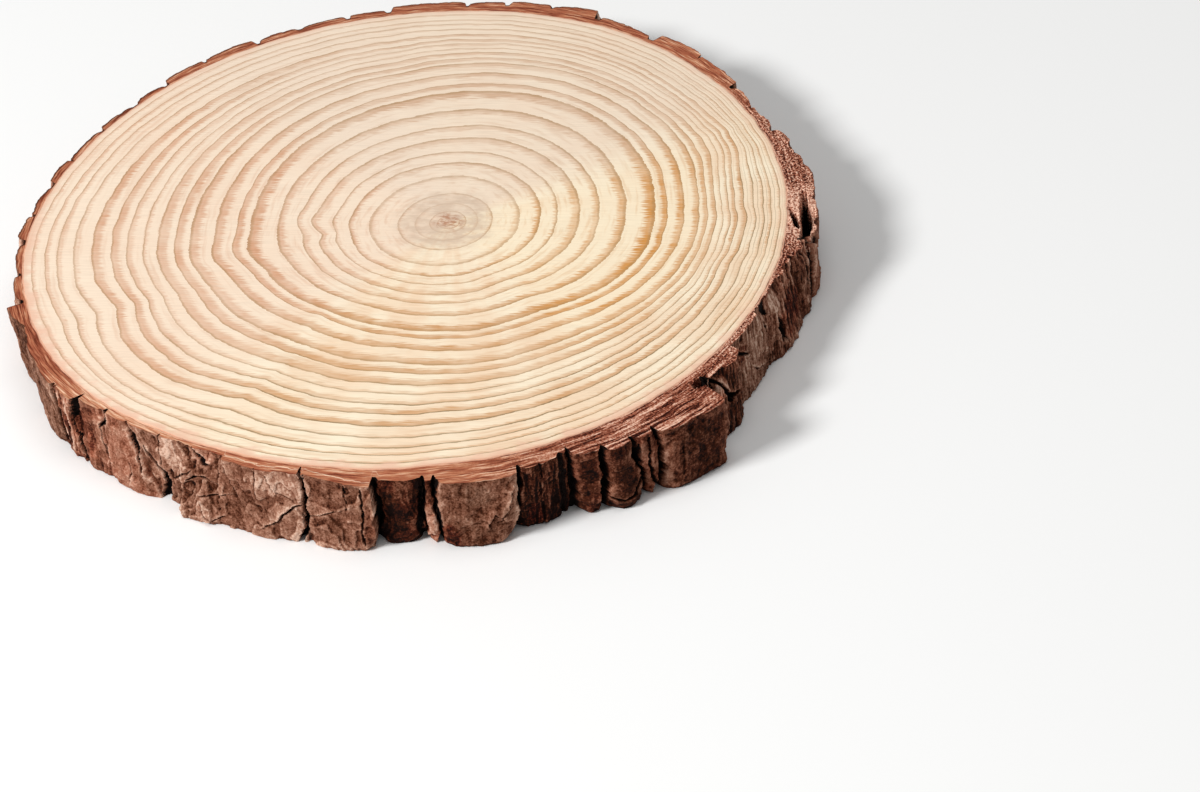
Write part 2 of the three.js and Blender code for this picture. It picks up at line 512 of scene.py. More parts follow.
@dataclass
class WoodDisc:
    """The disc between the two saw cuts, with its growth rings laid out in the mesh."""

    trunk: Trunk
    rings: tuple[GrowthRing, ...] = GROWTH_RINGS
    kinks: tuple[Kink, ...] = KINKS
    columns: int = 600
    rows_a_ring: int = 3
    rows_in_wall: int = 6
    drift: float = 0.097
    drift_angle: float = 40.0
    drift_power: float = 1.35
    waviness: float = 0.0035
    wave_length: float = 7.0
    kink_fade: float = 8.0
    wave_fade: float = 12.0
    wave_growth: float = 4.0
    wave_radius: float = 90.0
    wave_layers: float = 25.0

    def ring_share(self, share: Array, angle: Array) -> Array:
        """Find where a ring lies, as a share of the way from the pith to the bark.

        The trunk grew faster to one side and then to the other, so the rings in the middle
        lie further out on one side. Kinks and a fine waviness are added to that.

        Args:
            share: The ring's mean share.
            angle: Angle round the pith.

        Returns:
            The share at that angle.
        """
        still = np.sin(math.pi * share**self.drift_power) ** 2
        found = share + self.drift * still * np.cos(np.radians(angle - self.drift_angle))
        for kink in self.kinks:
            off = turned_off(angle, kink.angle) / kink.width
            depth = (share - kink.share) / kink.depth
            near = np.exp(-np.abs(off) ** kink.bluntness - depth * depth)
            found += kink.push * near * np.minimum(1, self.kink_fade * (1 - share))
        turn = np.radians(angle)
        around = self.wave_radius * np.maximum(share, 0.1)
        layers = self.wave_layers * share
        place = np.stack([around * np.cos(turn), around * np.sin(turn), layers], axis=1)
        wave = self.waviness * cloud(place, self.wave_length, 3)
        wave *= np.minimum(1, self.wave_fade * (1 - share))
        return found + wave * np.minimum(1, self.wave_growth * share)

    def build(self) -> list[bpy.types.Object]:
        """Build the disc and keep what its finish reads as attributes.

        Returns:
            The disc alone, linked to the scene.
        """
        edges = [0.0] + [ring.edge for ring in self.rings]
        upper = [(edge, 1.0, self.rows_a_ring) for edge in edges[:-1]]
        lower = [(edge, 0.0, 1) for edge in reversed(edges)]
        outline = along(*upper, (1.0, 1.0, self.rows_in_wall), *lower)
        mesh = rolled_mesh("wood_disc", outline, self.columns)

        unit = mesh_points(mesh)
        share = np.hypot(unit[:, 0], unit[:, 1])
        angle = np.degrees(np.arctan2(unit[:, 1], unit[:, 0]))
        reach = self.ring_share(share, angle) * self.trunk.reach(angle)
        turn = np.radians(angle)
        middle = np.array(self.trunk.centre) + np.array(self.trunk.pith)
        x = middle[0] + reach * np.cos(turn)
        y = middle[1] + reach * np.sin(turn)
        z = unit[:, 2] * self.trunk.thickness
        mesh.vertices.foreach_set("co", (np.stack([x, y, z], axis=1) * MM).ravel())

        count = np.interp(share, edges, np.arange(len(edges)))
        store(mesh, "ring_count", count)
        store(mesh, "ray", np.stack([np.cos(turn), np.sin(turn), share], axis=1))
        self.mark_rings(mesh, count)
        mesh.update()
        disc = bpy.data.objects.new("wood_disc", mesh)
        bpy.context.scene.collection.objects.link(disc)
        return [disc]

    def mark_rings(self, mesh: bpy.types.Mesh, count: Array) -> None:
        """Give each face the latewood share and tone of its ring.

        Args:
            mesh: The disc's mesh.
            count: Rings from the pith to each vertex.
        """
        corners = np.empty(len(mesh.loops), int)
        mesh.loops.foreach_get("vertex_index", corners)
        starts = np.empty(len(mesh.polygons), int)
        mesh.polygons.foreach_get("loop_start", starts)
        sizes = np.diff(np.append(starts, len(corners)))
        middle = np.add.reduceat(count[corners], starts) / sizes
        index = np.clip(middle.astype(int), 0, len(self.rings) - 1)
        store(mesh, "latewood", np.array([ring.latewood for ring in self.rings])[index], "FACE")
        store(mesh, "tone", np.array([ring.tone for ring in self.rings])[index], "FACE")

    def dress(self, pieces: list[bpy.types.Object]) -> None:
        """Give the disc its finish and tie it to the frame."""
        put_on(pieces, PineEndGrain().make(), "wood")


class PlateFace(Enum):
    """What a plate's outer face is like: depths of its scales, its upright fibres and its lumps."""

    SMOOTH = (0.24, 0.05, 0.12)
    FLAKY = (0.4, 0.08, 0.16)
    PITTED = (0.18, 0.12, 0.36)
    FIBROUS = (0.26, 0.42, 0.24)
    KNOTTY = (0.5, 0.12, 0.6)


@dataclass(frozen=True)
class Plate:
    """One plate of bark.

    start is where it begins and rise its thickness at its two ends, at the sawn top.
    flare is how much thicker its foot is. crack is the depth of the crack before it, gape half
    that crack's width in degrees and lean how far the crack's foot is turned from its top.
    weathered runs from 0, dark and fresh, to 1, pale grey, and rust is how red the plate is.
    The low values of the dark plates between 264 and 314 degrees are partly their darker bark
    and partly painted shade.
    """

    start: float
    rise: tuple[float, float]
    flare: float
    crack: float
    gape: float
    lean: float
    face: PlateFace
    weathered: float
    rust: float = 0.2


# The dark plates between 264 and 314 degrees are darkened partly for their own darker bark and partly as painted
# shade.
PLATES = (
    Plate(6, (7.4, 4.4), 0.4, 0, 0.6, 0, PlateFace.FLAKY, 0.5),
    Plate(16, (3.3, 3.6), 0.8, 0.9, 0.6, 0.6, PlateFace.FLAKY, 0.6),
    Plate(22.5, (3.2, 3.3), 1.4, 1.2, 0.5, -0.8, PlateFace.SMOOTH, 0.65),
    Plate(28.6, (4.7, 5.6), 0.4, 2, 0.6, -0.5, PlateFace.FLAKY, 0.5),
    Plate(39, (6, 5.3), 0.9, 2.2, 0.5, 0.7, PlateFace.SMOOTH, 0.45, 0.5),
    Plate(48, (3, 4.3), 0.6, 1.6, 0.7, 0.4, PlateFace.FIBROUS, 0.4, 0.4),
    Plate(58.5, (6.8, 5.8), 0, 2.6, 0.6, 0.8, PlateFace.FLAKY, 0.55),
    Plate(66, (5.8, 5.2), 0.5, 2.4, 0.5, -0.6, PlateFace.SMOOTH, 0.65),
    Plate(74, (4.8, 4.2), 1.1, 1.8, 0.5, 0.9, PlateFace.FLAKY, 0.4, 0.5),
    Plate(80, (4.9, 4.6), 0.4, 1.4, 0.6, 0.5, PlateFace.FLAKY, 0.6),
    Plate(92, (3.6, 3.2), 0.8, 2.6, 0.7, -0.4, PlateFace.SMOOTH, 0.7),
    Plate(99, (3.2, 3.1), 1.6, 1.2, 0.5, 0.8, PlateFace.KNOTTY, 0.55),
    Plate(107, (3.1, 2.6), 1, 0.8, 0.5, 0.6, PlateFace.FLAKY, 0.5, 0.5),
    Plate(114, (4.1, 3.7), 0.4, 2.6, 0.7, 0, PlateFace.FLAKY, 0.65),
    Plate(123, (3.7, 3.4), 1, 1.8, 0.5, -0.9, PlateFace.SMOOTH, 0.6, 0.4),
    Plate(131.5, (1.8, 1.9), 1.8, 1.2, 0.7, 0.7, PlateFace.FIBROUS, 0.45),
    Plate(138.5, (1.7, 2), 1.2, 0.7, 0.5, 0.3, PlateFace.FLAKY, 0.6),
    Plate(146, (1.5, 2.2), 1.8, 0.8, 0.6, -0.6, PlateFace.SMOOTH, 0.55, 0.5),
    Plate(155, (2.6, 2.2), 1, 1.2, 0.5, 0.7, PlateFace.FLAKY, 0.7),
    Plate(162, (1.2, 2.4), 1.6, 0.8, 0.6, 0.4, PlateFace.FIBROUS, 0.5),
    Plate(169, (2.9, 2.6), 0.8, 1.3, 0.5, -0.5, PlateFace.FLAKY, 0.6),
    Plate(176, (2, 2.2), 1.2, 1.2, 0.6, 0.5, PlateFace.FLAKY, 0.5, 0.4),
    Plate(184, (2.6, 2.6), 0.6, 1.3, 0.5, 0.6, PlateFace.SMOOTH, 0.55),
    Plate(191.5, (6.2, 3.2), -1.6, 1.6, 0.5, 1.2, PlateFace.SMOOTH, 0.46, 0),
    Plate(197, (2.8, 6), -0.5, 0, 0.6, 1, PlateFace.SMOOTH, 0.48, 0),
    Plate(211.2, (5.2, 5.4), -0.3, 0.6, 0.3, 0.2, PlateFace.FIBROUS, 0.38, 0.9),
    Plate(215.6, (3.4, 2.8), 1.7, 0.4, 0.15, 0.2, PlateFace.SMOOTH, 0.48, 0.7),
    Plate(221.2, (2.8, 2.6), 1.9, 0.4, 0.3, 0.8, PlateFace.SMOOTH, 0.58, 0.6),
    Plate(228.2, (2.4, 2.2), 0.8, 0.4, 0.4, 5, PlateFace.FLAKY, 0.58),
    Plate(234, (2.0, 2.4), 4.2, 0, 0.7, 0.8, PlateFace.KNOTTY, 0.55),
    Plate(241, (4.0, 4.3), 2.2, 0, 0.6, -0.4, PlateFace.FLAKY, 0.6),
    Plate(254.2, (4.3, 8), 1.4, 0.6, 0.3, 0, PlateFace.FLAKY, 0.6),
    Plate(264.0, (4.6, 5.4), -0.6, 3.0, 0.5, -0.6, PlateFace.SMOOTH, 0.02, 0.6),
    Plate(270.4, (6.6, 6.8), 0.4, 2.4, 0.3, -0.4, PlateFace.KNOTTY, 0.52, 0.7),
    Plate(272.2, (7.9, 9.2), 0.8, 2.6, 0.22, 0.6, PlateFace.PITTED, 0.4),
    Plate(282.8, (7.4, 5.2), -0.8, 3.0, 0.4, -0.8, PlateFace.FIBROUS, 0.1, 0.5),
    Plate(290.8, (7.8, 8.8), -0.4, 2.0, 0.5, 0.6, PlateFace.SMOOTH, 0.09, 0.6),
    Plate(294.4, (11.0, 10.2), -0.6, 3.4, 0.35, 0.3, PlateFace.SMOOTH, 0.07, 0.4),
    Plate(299.4, (9.9, 10.6), -0.6, 3.4, 0.4, 1.6, PlateFace.SMOOTH, 0.16, 0.6),
    Plate(302.2, (12.6, 15.4), -0.9, 4.4, 0.45, 0.8, PlateFace.PITTED, 0.23, 0.4),
    Plate(313.4, (6.4, 6.0), 1.4, 3.4, 0.6, 0.6, PlateFace.FIBROUS, 0.21, 0.4),
    Plate(321, (2.2, 1.7), 1.4, 0.3, 0.7, 0, PlateFace.FIBROUS, 0.56, 0.1),
    Plate(332, (1.6, 3), 3.2, 0, 0.8, 0, PlateFace.FIBROUS, 0.5, 0.3),
    Plate(343, (4.8, 5.8), 2.4, 0.2, 0.6, 0.4, PlateFace.FIBROUS, 0.43, 0.4),
    Plate(347.4, (8.5, 8), -0.4, 1.4, 0.6, -0.5, PlateFace.FLAKY, 0.42, 0.5),
)


@dataclass(frozen=True)
class Fissure:
    """A split in the bark's wall: its depth, how far its left edge curls up, and its path.

    The left edge is the one to the left on the way along the path, seen from outside, and a
    negative curl lifts the right edge. A point of the path has an angle, a height from 0 at the
    foot to 1 at the top, and half the split's width.
    """

    depth: float
    curl: float
    path: tuple[tuple[float, float, float], ...]


FISSURES = (
    Fissure(0.8, -0.4, ((211.5, 1.0, 0.2), (211.2, 0.6, 0.3), (211.5, 0.1, 0.25))),
    Fissure(1.2, 0.5, ((212.9, 0.95, 0.25), (212.5, 0.6, 0.35), (212.8, 0.1, 0.3))),
    Fissure(1.0, 0.4, ((214.3, 0.95, 0.2), (213.8, 0.6, 0.3), (213.9, 0.1, 0.3))),
    Fissure(
        2.2,
        -0.5,
        ((215.7, 1.0, 0.8), (215.5, 0.8, 0.7), (215.2, 0.6, 0.25), (215.6, 0.35, 0.3), (216.2, 0, 0.7)),
    ),
    Fissure(1.6, 0.2, ((221.1, 1.0, 0.8), (221.3, 0.86, 0.7), (220.3, 0.76, 0.3))),
    Fissure(1.5, 0.3, ((220.3, 0.76, 0.3), (220.6, 0.55, 0.35), (221.5, 0.27, 0.45))),
    Fissure(0.7, 0.4, ((224.9, 0.53, 0.2), (225.8, 0.42, 0.35), (226.0, 0.28, 0.3), (225.5, 0.12, 0.2))),
    Fissure(1.8, 0.5, ((225.8, 0.93, 0.6), (226.5, 0.8, 1.5), (227.0, 0.66, 0.9), (227.9, 0.3, 0.25))),
    Fissure(
        2.0,
        -0.3,
        ((228.2, 0.73, 0.3), (229.6, 0.56, 0.5), (231.4, 0.42, 0.8), (231.8, 0.3, 0.9), (230.9, 0, 1.5)),
    ),
    Fissure(0.9, 0.2, ((231.3, 1.0, 0.25), (231.2, 0.8, 0.25), (231.0, 0.55, 0.2))),
    Fissure(0.8, 0.6, ((236.8, 0.66, 0.2), (235.2, 0.56, 0.3), (233.2, 0.4, 0.25))),
    Fissure(1.4, 0.3, ((236.9, 0.98, 0.3), (237.8, 0.88, 0.9), (238.8, 0.82, 1.2), (239.6, 0.8, 0.4))),
    Fissure(1.1, 0.5, ((235.9, 0.5, 0.2), (237.4, 0.6, 0.5), (239.2, 0.63, 0.5), (240.8, 0.58, 0.2))),
    Fissure(0.8, 0.5, ((236.2, 0.36, 0.2), (238.0, 0.37, 0.35), (240.0, 0.4, 0.35), (242.6, 0.48, 0.2))),
    Fissure(0.6, 0.4, ((238.4, 0.3, 0.2), (238.6, 0.14, 0.3), (240.0, 0.06, 0.3), (241.6, 0.14, 0.2))),
    Fissure(0.5, 0.3, ((242.4, 0.88, 0.2), (243.2, 0.66, 0.3), (244.3, 0.5, 0.2))),
    Fissure(0.5, 0.3, ((247.3, 1.0, 0.2), (247.4, 0.84, 0.25), (247.2, 0.6, 0.15))),
    Fissure(0.6, 0.4, ((248.9, 0.92, 0.2), (250.2, 0.7, 0.25), (252.4, 0.62, 0.2))),
    Fissure(1.0, 0.9, ((248.4, 0.18, 0.2), (250.2, 0.28, 0.35), (252.0, 0.47, 0.45), (253.6, 0.55, 0.5))),
    Fissure(3.0, 0.3, ((253.9, 1.02, 0.2), (254.2, 0.82, 0.5), (254.6, 0.66, 0.65), (254.2, 0.5, 0.3))),
    Fissure(3.0, 0.3, ((254.2, 0.5, 0.3), (254.6, 0.4, 0.6), (254.2, 0.2, 0.55), (253.2, 0, 0.9))),
    Fissure(0.7, 0.5, ((255.2, 0.42, 0.2), (257.0, 0.48, 0.35), (259.0, 0.56, 0.2))),
    Fissure(0.5, 0.3, ((260.2, 0.98, 0.2), (260.3, 0.8, 0.25), (260.4, 0.6, 0.2))),
    Fissure(0.9, 0.4, ((262.5, 0.95, 0.25), (262.6, 0.6, 0.3), (262.1, 0.3, 0.3), (262.2, 0.1, 0.3))),
    Fissure(1.4, 0.4, ((270.4, 0.85, 0.5), (269.9, 0.5, 0.7), (269.6, 0.2, 0.9), (270.2, 0, 0.7))),
    Fissure(
        1.6,
        -0.3,
        ((272.3, 1.0, 0.9), (272.0, 0.8, 0.6), (272.4, 0.5, 0.3), (272.6, 0.2, 0.5), (272.0, 0, 0.7)),
    ),
    Fissure(
        0.5,
        -0.9,
        ((282.0, 0.78, 0.2), (281.2, 0.52, 0.3), (280.2, 0.42, 0.25), (279.4, 0.5, 0.2), (278.6, 0.3, 0.15)),
    ),
    Fissure(0.4, 0.3, ((286.2, 1.0, 0.3), (286.0, 0.5, 0.4), (286.3, 0.0, 0.4))),
    Fissure(0.9, 0.3, ((289.2, 1.0, 0.9), (289.4, 0.5, 1.2), (289.4, 0.0, 1.0))),
    Fissure(1.8, -0.5, ((294.0, 0.96, 0.5), (294.2, 0.6, 0.4), (294.0, 0.3, 0.6), (294.6, 0, 0.7))),
    Fissure(
        1.2,
        0.5,
        ((299.3, 0.9, 0.3), (299.3, 0.4, 0.35), (298.2, 0.16, 0.4), (296.4, 0.15, 0.3), (294.8, 0.25, 0.2)),
    ),
    Fissure(2.2, 0.4, ((300.6, 0.95, 0.25), (300.7, 0.5, 0.35), (301.6, 0.1, 0.4))),
    Fissure(0.3, 0.3, ((305.0, 0.66, 0.25), (305.1, 0.42, 0.3), (304.9, 0.2, 0.2))),
    Fissure(2.2, 0.6, ((313.4, 0.98, 0.7), (314.8, 0.9, 0.6), (316.2, 0.7, 0.4), (317.0, 0.48, 0.4))),
    Fissure(2.6, 0.3, ((316.6, 0.62, 0.5), (317.6, 0.52, 1.1), (319.2, 0.5, 0.6))),
    Fissure(1.2, -0.5, ((321.2, 0.88, 0.5), (323.2, 0.74, 0.6), (325.4, 0.6, 0.4))),
    Fissure(0.9, 0.4, ((326.2, 0.36, 0.25), (327.4, 0.25, 0.35), (329.0, 0.2, 0.25))),
    Fissure(3.0, 0.4, ((331.4, 1.05, 1.9), (331.6, 0.9, 1.4), (332.2, 0.8, 0.5))),
    Fissure(1.0, 0.4, ((330.6, 0.78, 0.3), (331.4, 0.66, 0.4), (331.2, 0.58, 0.3))),
    Fissure(2.6, -0.5, ((334.4, 0.64, 0.6), (335.3, 0.45, 1.5), (335.5, 0.2, 1.0))),
    Fissure(1.2, -0.6, ((336.2, 0.5, 0.3), (336.0, 0.3, 0.4), (336.3, 0.12, 0.3))),
    Fissure(1.0, 0.5, ((338.6, 1.0, 0.25), (338.4, 0.8, 0.35), (338.8, 0.6, 0.3))),
    Fissure(1.0, 0.5, ((341.6, 1.0, 0.25), (341.0, 0.84, 0.35), (341.2, 0.66, 0.3))),
    Fissure(1.2, 0.4, ((345.2, 0.95, 0.4), (346.0, 0.6, 0.6), (345.6, 0.2, 0.4))),
    Fissure(3.0, 0.3, ((347.4, 0.98, 0.5), (348.8, 0.9, 1.1), (350.4, 0.8, 1.3), (352.0, 0.5, 0.8))),
)


@dataclass(frozen=True)
class Patch:
    """A patch of the wall that aged otherwise than its plate: the angle and height of its middle, its
    half sizes in degrees and in shares of the height, and what it adds to ageing and to rust."""

    angle: float
    level: float
    wide: float
    tall: float
    weathered: float
    rust: float


PATCHES = (
    Patch(212.3, 0.5, 0.5, 0.5, 0.5, -0.4),
    Patch(213.3, 0.5, 0.4, 0.5, -0.25, 0.1),
    Patch(214.2, 0.5, 0.4, 0.5, 0.35, -0.2),
    Patch(218.6, 0.35, 1.6, 0.3, 0.02, 0.4),
    Patch(224.2, 0.14, 2.6, 0.15, 0.06, 0.2),
    Patch(233.7, 0.78, 2.5, 0.28, 0.34, 0.0),
    Patch(238.5, 0.92, 2.4, 0.12, 0.3, 0.4),
    Patch(250.8, 0.84, 2.3, 0.2, 0.24, 0.0),
    Patch(256.8, 0.24, 3.8, 0.26, -0.2, 0.0),
    Patch(263.2, 0.5, 0.9, 0.5, -0.3, 0.2),
    Patch(266.0, 0.3, 2.0, 0.5, -0.08, 0.0),
    Patch(268.0, 0.84, 1.6, 0.2, 0.24, 0.0),
    Patch(271.3, 0.86, 1.3, 0.22, -0.45, 0.0),
    Patch(277.4, 0.8, 2.2, 0.18, 0.1, -0.2),
    Patch(273.6, 0.16, 1.8, 0.24, -0.25, 0.8),
    Patch(287.2, 0.6, 0.8, 0.4, 0.16, 0.2),
    Patch(285.2, 0.2, 1.4, 0.2, 0.08, 0.5),
    Patch(308.6, 0.8, 2.0, 0.22, 0.06, 0.0),
    Patch(315.0, 0.72, 1.9, 0.2, 0.38, 0.6),
    Patch(323.2, 0.74, 2.2, 0.12, -0.32, 0.7),
    Patch(327.0, 0.68, 3.4, 0.3, 0.08, -0.1),
    Patch(334.6, 0.86, 1.7, 0.16, 0.34, -0.2),
    Patch(339.4, 0.4, 3.8, 0.3, -0.26, 1.0),
    Patch(340.0, 0.86, 2.6, 0.14, 0.08, 0.3),
    Patch(345.0, 0.44, 1.8, 0.22, 0.04, -0.2),
)


@dataclass(frozen=True)
class Cavity:
    """A hole between the layers of the sawn bark: its angle and half width in degrees, how far from
    the wood it starts and ends, its depth, and how much further out it lies a degree on."""

    angle: float
    width: float
    near: float
    far: float
    depth: float
    slant: float = 0.0


CAVITIES = (
    Cavity(352.6, 6.2, 3.9, 7.0, 12.0, -0.07),
    Cavity(352.4, 2.7, 1.5, 3.2, 6.0, -0.5),
    Cavity(312.6, 1.5, 3.2, 5.6, 8.0),
    Cavity(332.5, 0.9, 0.6, 1.8, 4.0),
)


class Noise(Enum):
    """Noise in the bark: the width of its largest lumps, its octaves, a shift of its pattern, and
    how its lumps are squeezed upright, below 1 for lumps that are drawn out."""

    FRAY = (2.0, 3, 7.1, 1.0)
    WANDER = (8.0, 3, 0.0, 0.8)
    CRACK_WIDTH = (7.0, 3, 3.3, 0.9)
    SCALES = (11.0, 3, 20.0, 0.7)
    SMALL_SCALES = (4.5, 3, 41.0, 1.0)
    FIBRES = (1.5, 3, 11.0, 0.12)
    LUMPS = (3.0, 4, 5.0, 1.0)
    GRIT = (0.8, 2, 31.0, 1.0)
    FOOT = (6.0, 2, 15.0, 1.0)
    CHIPS = (6.0, 3, 9.0, 0.4)
    PATCH_EDGE = (3.0, 3, 2.0, 0.4)
    SAWN_FACE = (1.4, 3, 0.0, 1.0)
    HOLE_EDGE = (1.6, 3, 17.0, 1.0)

    def at(self, points: Array) -> Array:
        """Sample the noise at places in millimetres, one a row."""
        size, octaves, shift, upright = self.value
        return cloud(points * np.array([1.0, 1.0, upright]), size, octaves, shift)


@dataclass
class BarkRing:
    """The ring of bark round the wood: plates with cracks between them, sawn flat above and below.

    The outer wall is worked out on a grid of columns round the trunk and rows up the wall, and the
    ring is built from it in a few pieces that meet on flat ends.
    """

    trunk: Trunk
    plates: tuple[Plate, ...] = PLATES
    fissures: tuple[Fissure, ...] = FISSURES
    patches: tuple[Patch, ...] = PATCHES
    cavities: tuple[Cavity, ...] = CAVITIES
    pieces: int = 4
    columns: int = 2400
    wall_rows: int = 96
    upper_rows: int = 22
    lower_rows: int = 4
    sharp_angle: float = 50.0
    mean_radius: float = 108.0
    torn_side: float = 335.0

    # The plates, and the cracks between them.
    least: float = 0.9
    swell: float = 0.4
    wander: float = 1.2
    fray: float = 0.5
    width_change: float = 1.1
    width_limits: tuple[float, float] = (0.25, 2.2)
    golden_step: float = 0.618
    open_depth: float = 1.2
    top_notch: float = 1.3
    curl_width: float = 1.6
    fissure_shade_depth: float = 1.8

    # What is rounded or broken off them.
    shoulder: float = 0.3
    shoulder_width: float = 1.2
    corner: float = 2.2
    corner_width: float = 2.4
    corner_height: float = 0.3
    lost_corner: float = 0.3
    lost_width: float = 2.2
    lost_height: float = 0.5
    lost_foot: float = 1.4
    most_lost: float = 6.0
    foot_round: float = 0.4
    foot_height: float = 0.06
    chipping: float = 0.3
    torn_chipping: float = 0.9

    # Their surface, and the light and shade painted on its edges and scales.
    fine_grit: float = 0.06
    smooth_top: float = 0.5
    scale_light_and_shade: float = 0.2
    light_and_shade_blurs: tuple[tuple[int, float], ...] = ((6, 0.2), (60, 0.9))
    light_and_shade_tone: float = 0.17
    saw_depth: float = 0.12
    torn_depth: float = 0.2
    most_torn: float = 0.6
    face_radius: float = 40.0
    face_stretch: float = 1.6

    @property
    def arc(self) -> float:
        """The length of a degree on the mean wall."""
        return math.radians(1) * self.mean_radius

    def build(self) -> list[bpy.types.Object]:
        """Build the ring and keep what its finish reads as attributes.

        Returns:
            The ring's pieces, linked to the scene.
        """
        wall = self.outer_wall()
        span = 360 / self.pieces
        return [self.build_piece(wall, step, step * span, span) for step in range(self.pieces)]

    def build_piece(
        self, wall: dict[str, Array], number: int, start: float, span: float
    ) -> bpy.types.Object:
        """Build one piece of the ring.

        Args:
            wall: The outer wall's values by name, each a grid.
            number: Where the piece comes in its name.
            start: The angle at which it starts.
            span: The angle that it covers.

        Returns:
            The piece, linked to the scene.
        """
        outline = along(
            (1, 0, self.lower_rows), (2, 0, self.wall_rows), (2, 1, self.upper_rows), (1, 1, 1), (1, 0, 1)
        )
        mesh = rolled_mesh(f"bark_ring_{number + 1}", outline, self.columns // self.pieces, start, span)

        unit = mesh_points(mesh)
        across = np.hypot(unit[:, 0], unit[:, 1]) - 1
        angle = np.mod(np.degrees(np.arctan2(unit[:, 1], unit[:, 0])), 360)
        level = unit[:, 2]
        column = np.rint(angle * self.columns / 360).astype(int) % self.columns
        row = np.rint(level * self.wall_rows).astype(int)
        here = {name: values[row, column] for name, values in wall.items()}
        layer = across * here["thickness"]
        radius = self.trunk.wood_radius(angle) + layer
        drop, hollow = self.hollows(angle, layer, level, across)
        turn = np.radians(angle)
        x = self.trunk.centre[0] + radius * np.cos(turn)
        y = self.trunk.centre[1] + radius * np.sin(turn)
        z = level * self.trunk.thickness - drop
        mesh.vertices.foreach_set("co", (np.stack([x, y, z], axis=1) * MM).ravel())

        outside = across > 1 - TOUCH
        # Cracks, fissures and holes are marked for painted shade, near black in the finish.
        store(mesh, "crack", np.maximum(np.where(outside, here["crack"], 0), hollow))
        for name in ("age", "rust", "fibrous"):
            store(mesh, name, here[name])
        store(mesh, "sawn", np.where(outside, 0.0, 1.0))
        store(mesh, "inset", here["thickness"] - layer)
        store(mesh, "torn", self.torn_share(turn))
        store(mesh, "wrap", np.stack([np.cos(turn), np.sin(turn), layer], axis=1))
        mesh.shade_smooth()
        mesh.set_sharp_from_angle(angle=math.radians(self.sharp_angle))
        mesh.update()
        piece = bpy.data.objects.new(mesh.name, mesh)
        bpy.context.scene.collection.objects.link(piece)
        return piece

    def torn_share(self, turn: Array) -> Array:
        """Find how much of the sawn bark is torn, at angles in radians."""
        return smooth_step(np.cos(turn - math.radians(self.torn_side)), 0.45, 0.8)

    def crack_angles(self, level: Array) -> Array:
        """Find where each crack runs.

        Args:
            level: Heights from 0 at the foot to 1 at the top.

        Returns:
            One row of angles a crack, with the first repeated at the end, a turn further on.
        """
        rows = [plate.start + plate.lean * (0.5 - level) for plate in self.plates]
        return np.stack(rows + [rows[0] + 360])

    def outer_wall(self) -> dict[str, Array]:
        """Work out the bark's outer wall.

        Returns:
            Grids, with a row for each height, of the bark's thickness and of what its finish reads.
        """
        turns = np.arange(self.columns) * (360 / self.columns)
        levels = np.linspace(0, 1, self.wall_rows + 1)
        level, angle = (grid.ravel() for grid in np.meshgrid(levels, turns, indexing="ij"))
        turn = np.radians(angle)
        x, y = self.mean_radius * np.cos(turn), self.mean_radius * np.sin(turn)
        skin = np.stack([x, y, level * self.trunk.thickness], axis=1)
        fray = self.fray * Noise.FRAY.at(skin)
        wander = self.wander * Noise.WANDER.at(skin) + fray
        cracks = self.crack_angles(level)
        place = np.mod(angle + wander / self.arc - cracks[0], 360) + cracks[0]
        index = np.clip((place[None] >= cracks).sum(axis=0) - 1, 0, len(self.plates) - 1)
        column = np.arange(len(angle))
        start, end = cracks[index, column], cracks[index + 1, column]
        across = (place - start) / (end - start)

        def of_plate(read: Callable[[Plate], float], step: int = 0) -> Array:
            """Read one number of each vertex's plate, or of the plate some steps on."""
            values = np.array([read(plate) for plate in self.plates], float)
            return values[(index + step) % len(values)]

        foot = 1 - level
        flare = foot * of_plate(lambda p: p.flare)
        first = of_plate(lambda p: p.rise[0]) + flare
        last = of_plate(lambda p: p.rise[1]) + flare
        before = of_plate(lambda p: p.rise[1], -1) + foot * of_plate(lambda p: p.flare, -1)
        after = of_plate(lambda p: p.rise[0], 1) + foot * of_plate(lambda p: p.flare, 1)
        rise = blend(first, last, across) + self.swell * np.sin(math.pi * across)
        depth = [of_plate(lambda p: p.face.value[i]) for i in range(3)]
        scales = self.scales(skin)
        rough = depth[0] * scales + depth[1] * Noise.FIBRES.at(skin) + depth[2] * Noise.LUMPS.at(skin)
        rough += self.fine_grit * Noise.GRIT.at(skin)
        rough *= 1 - self.smooth_top * smooth_step(level, 0.9, 1.0)

        torn = self.torn_share(turn)
        width = 1 + self.width_change * Noise.CRACK_WIDTH.at(skin)
        thickness = np.full(len(angle), np.inf)
        crack = np.zeros(len(angle))
        sides = (
            ((place - start) * self.arc, first, before, 0),
            ((end - place) * self.arc, last, after, 1),
        )
        for gap, own, other, step in sides:
            vary = np.mod((index + step) * self.golden_step, 1) - 0.5
            gape = of_plate(lambda p: p.gape, step) * self.arc
            gape = gape * np.clip(width + 2 * vary * (level - 0.5), *self.width_limits)
            deep = of_plate(lambda p: p.crack, step)
            deep = blend(deep, np.minimum(deep, self.top_notch), smooth_step(level, 0.75, 0.97))
            floor = np.maximum(self.least, np.minimum(own, other) - deep)
            opened = np.clip(deep / self.open_depth, 0, 1)
            stands = np.clip(own - other, 0, self.most_lost)
            solid = rise + rough - self.rounding(gap, level, opened, stands * torn)
            thickness = np.minimum(thickness, blend(floor, solid, smooth_step(gap, 0.35 * gape, gape)))
            # The crack attribute asks for painted shade in the crack, darker as the crack is deeper.
            crack = np.maximum(crack, (1 - smooth_step(gap, 0.4 * gape, gape)) * opened)
        lift, cut, split = self.split_open(angle + fray / self.arc, level)
        thickness += lift - cut - self.worn_off(skin, level, torn)
        thickness = np.maximum(self.least, thickness)
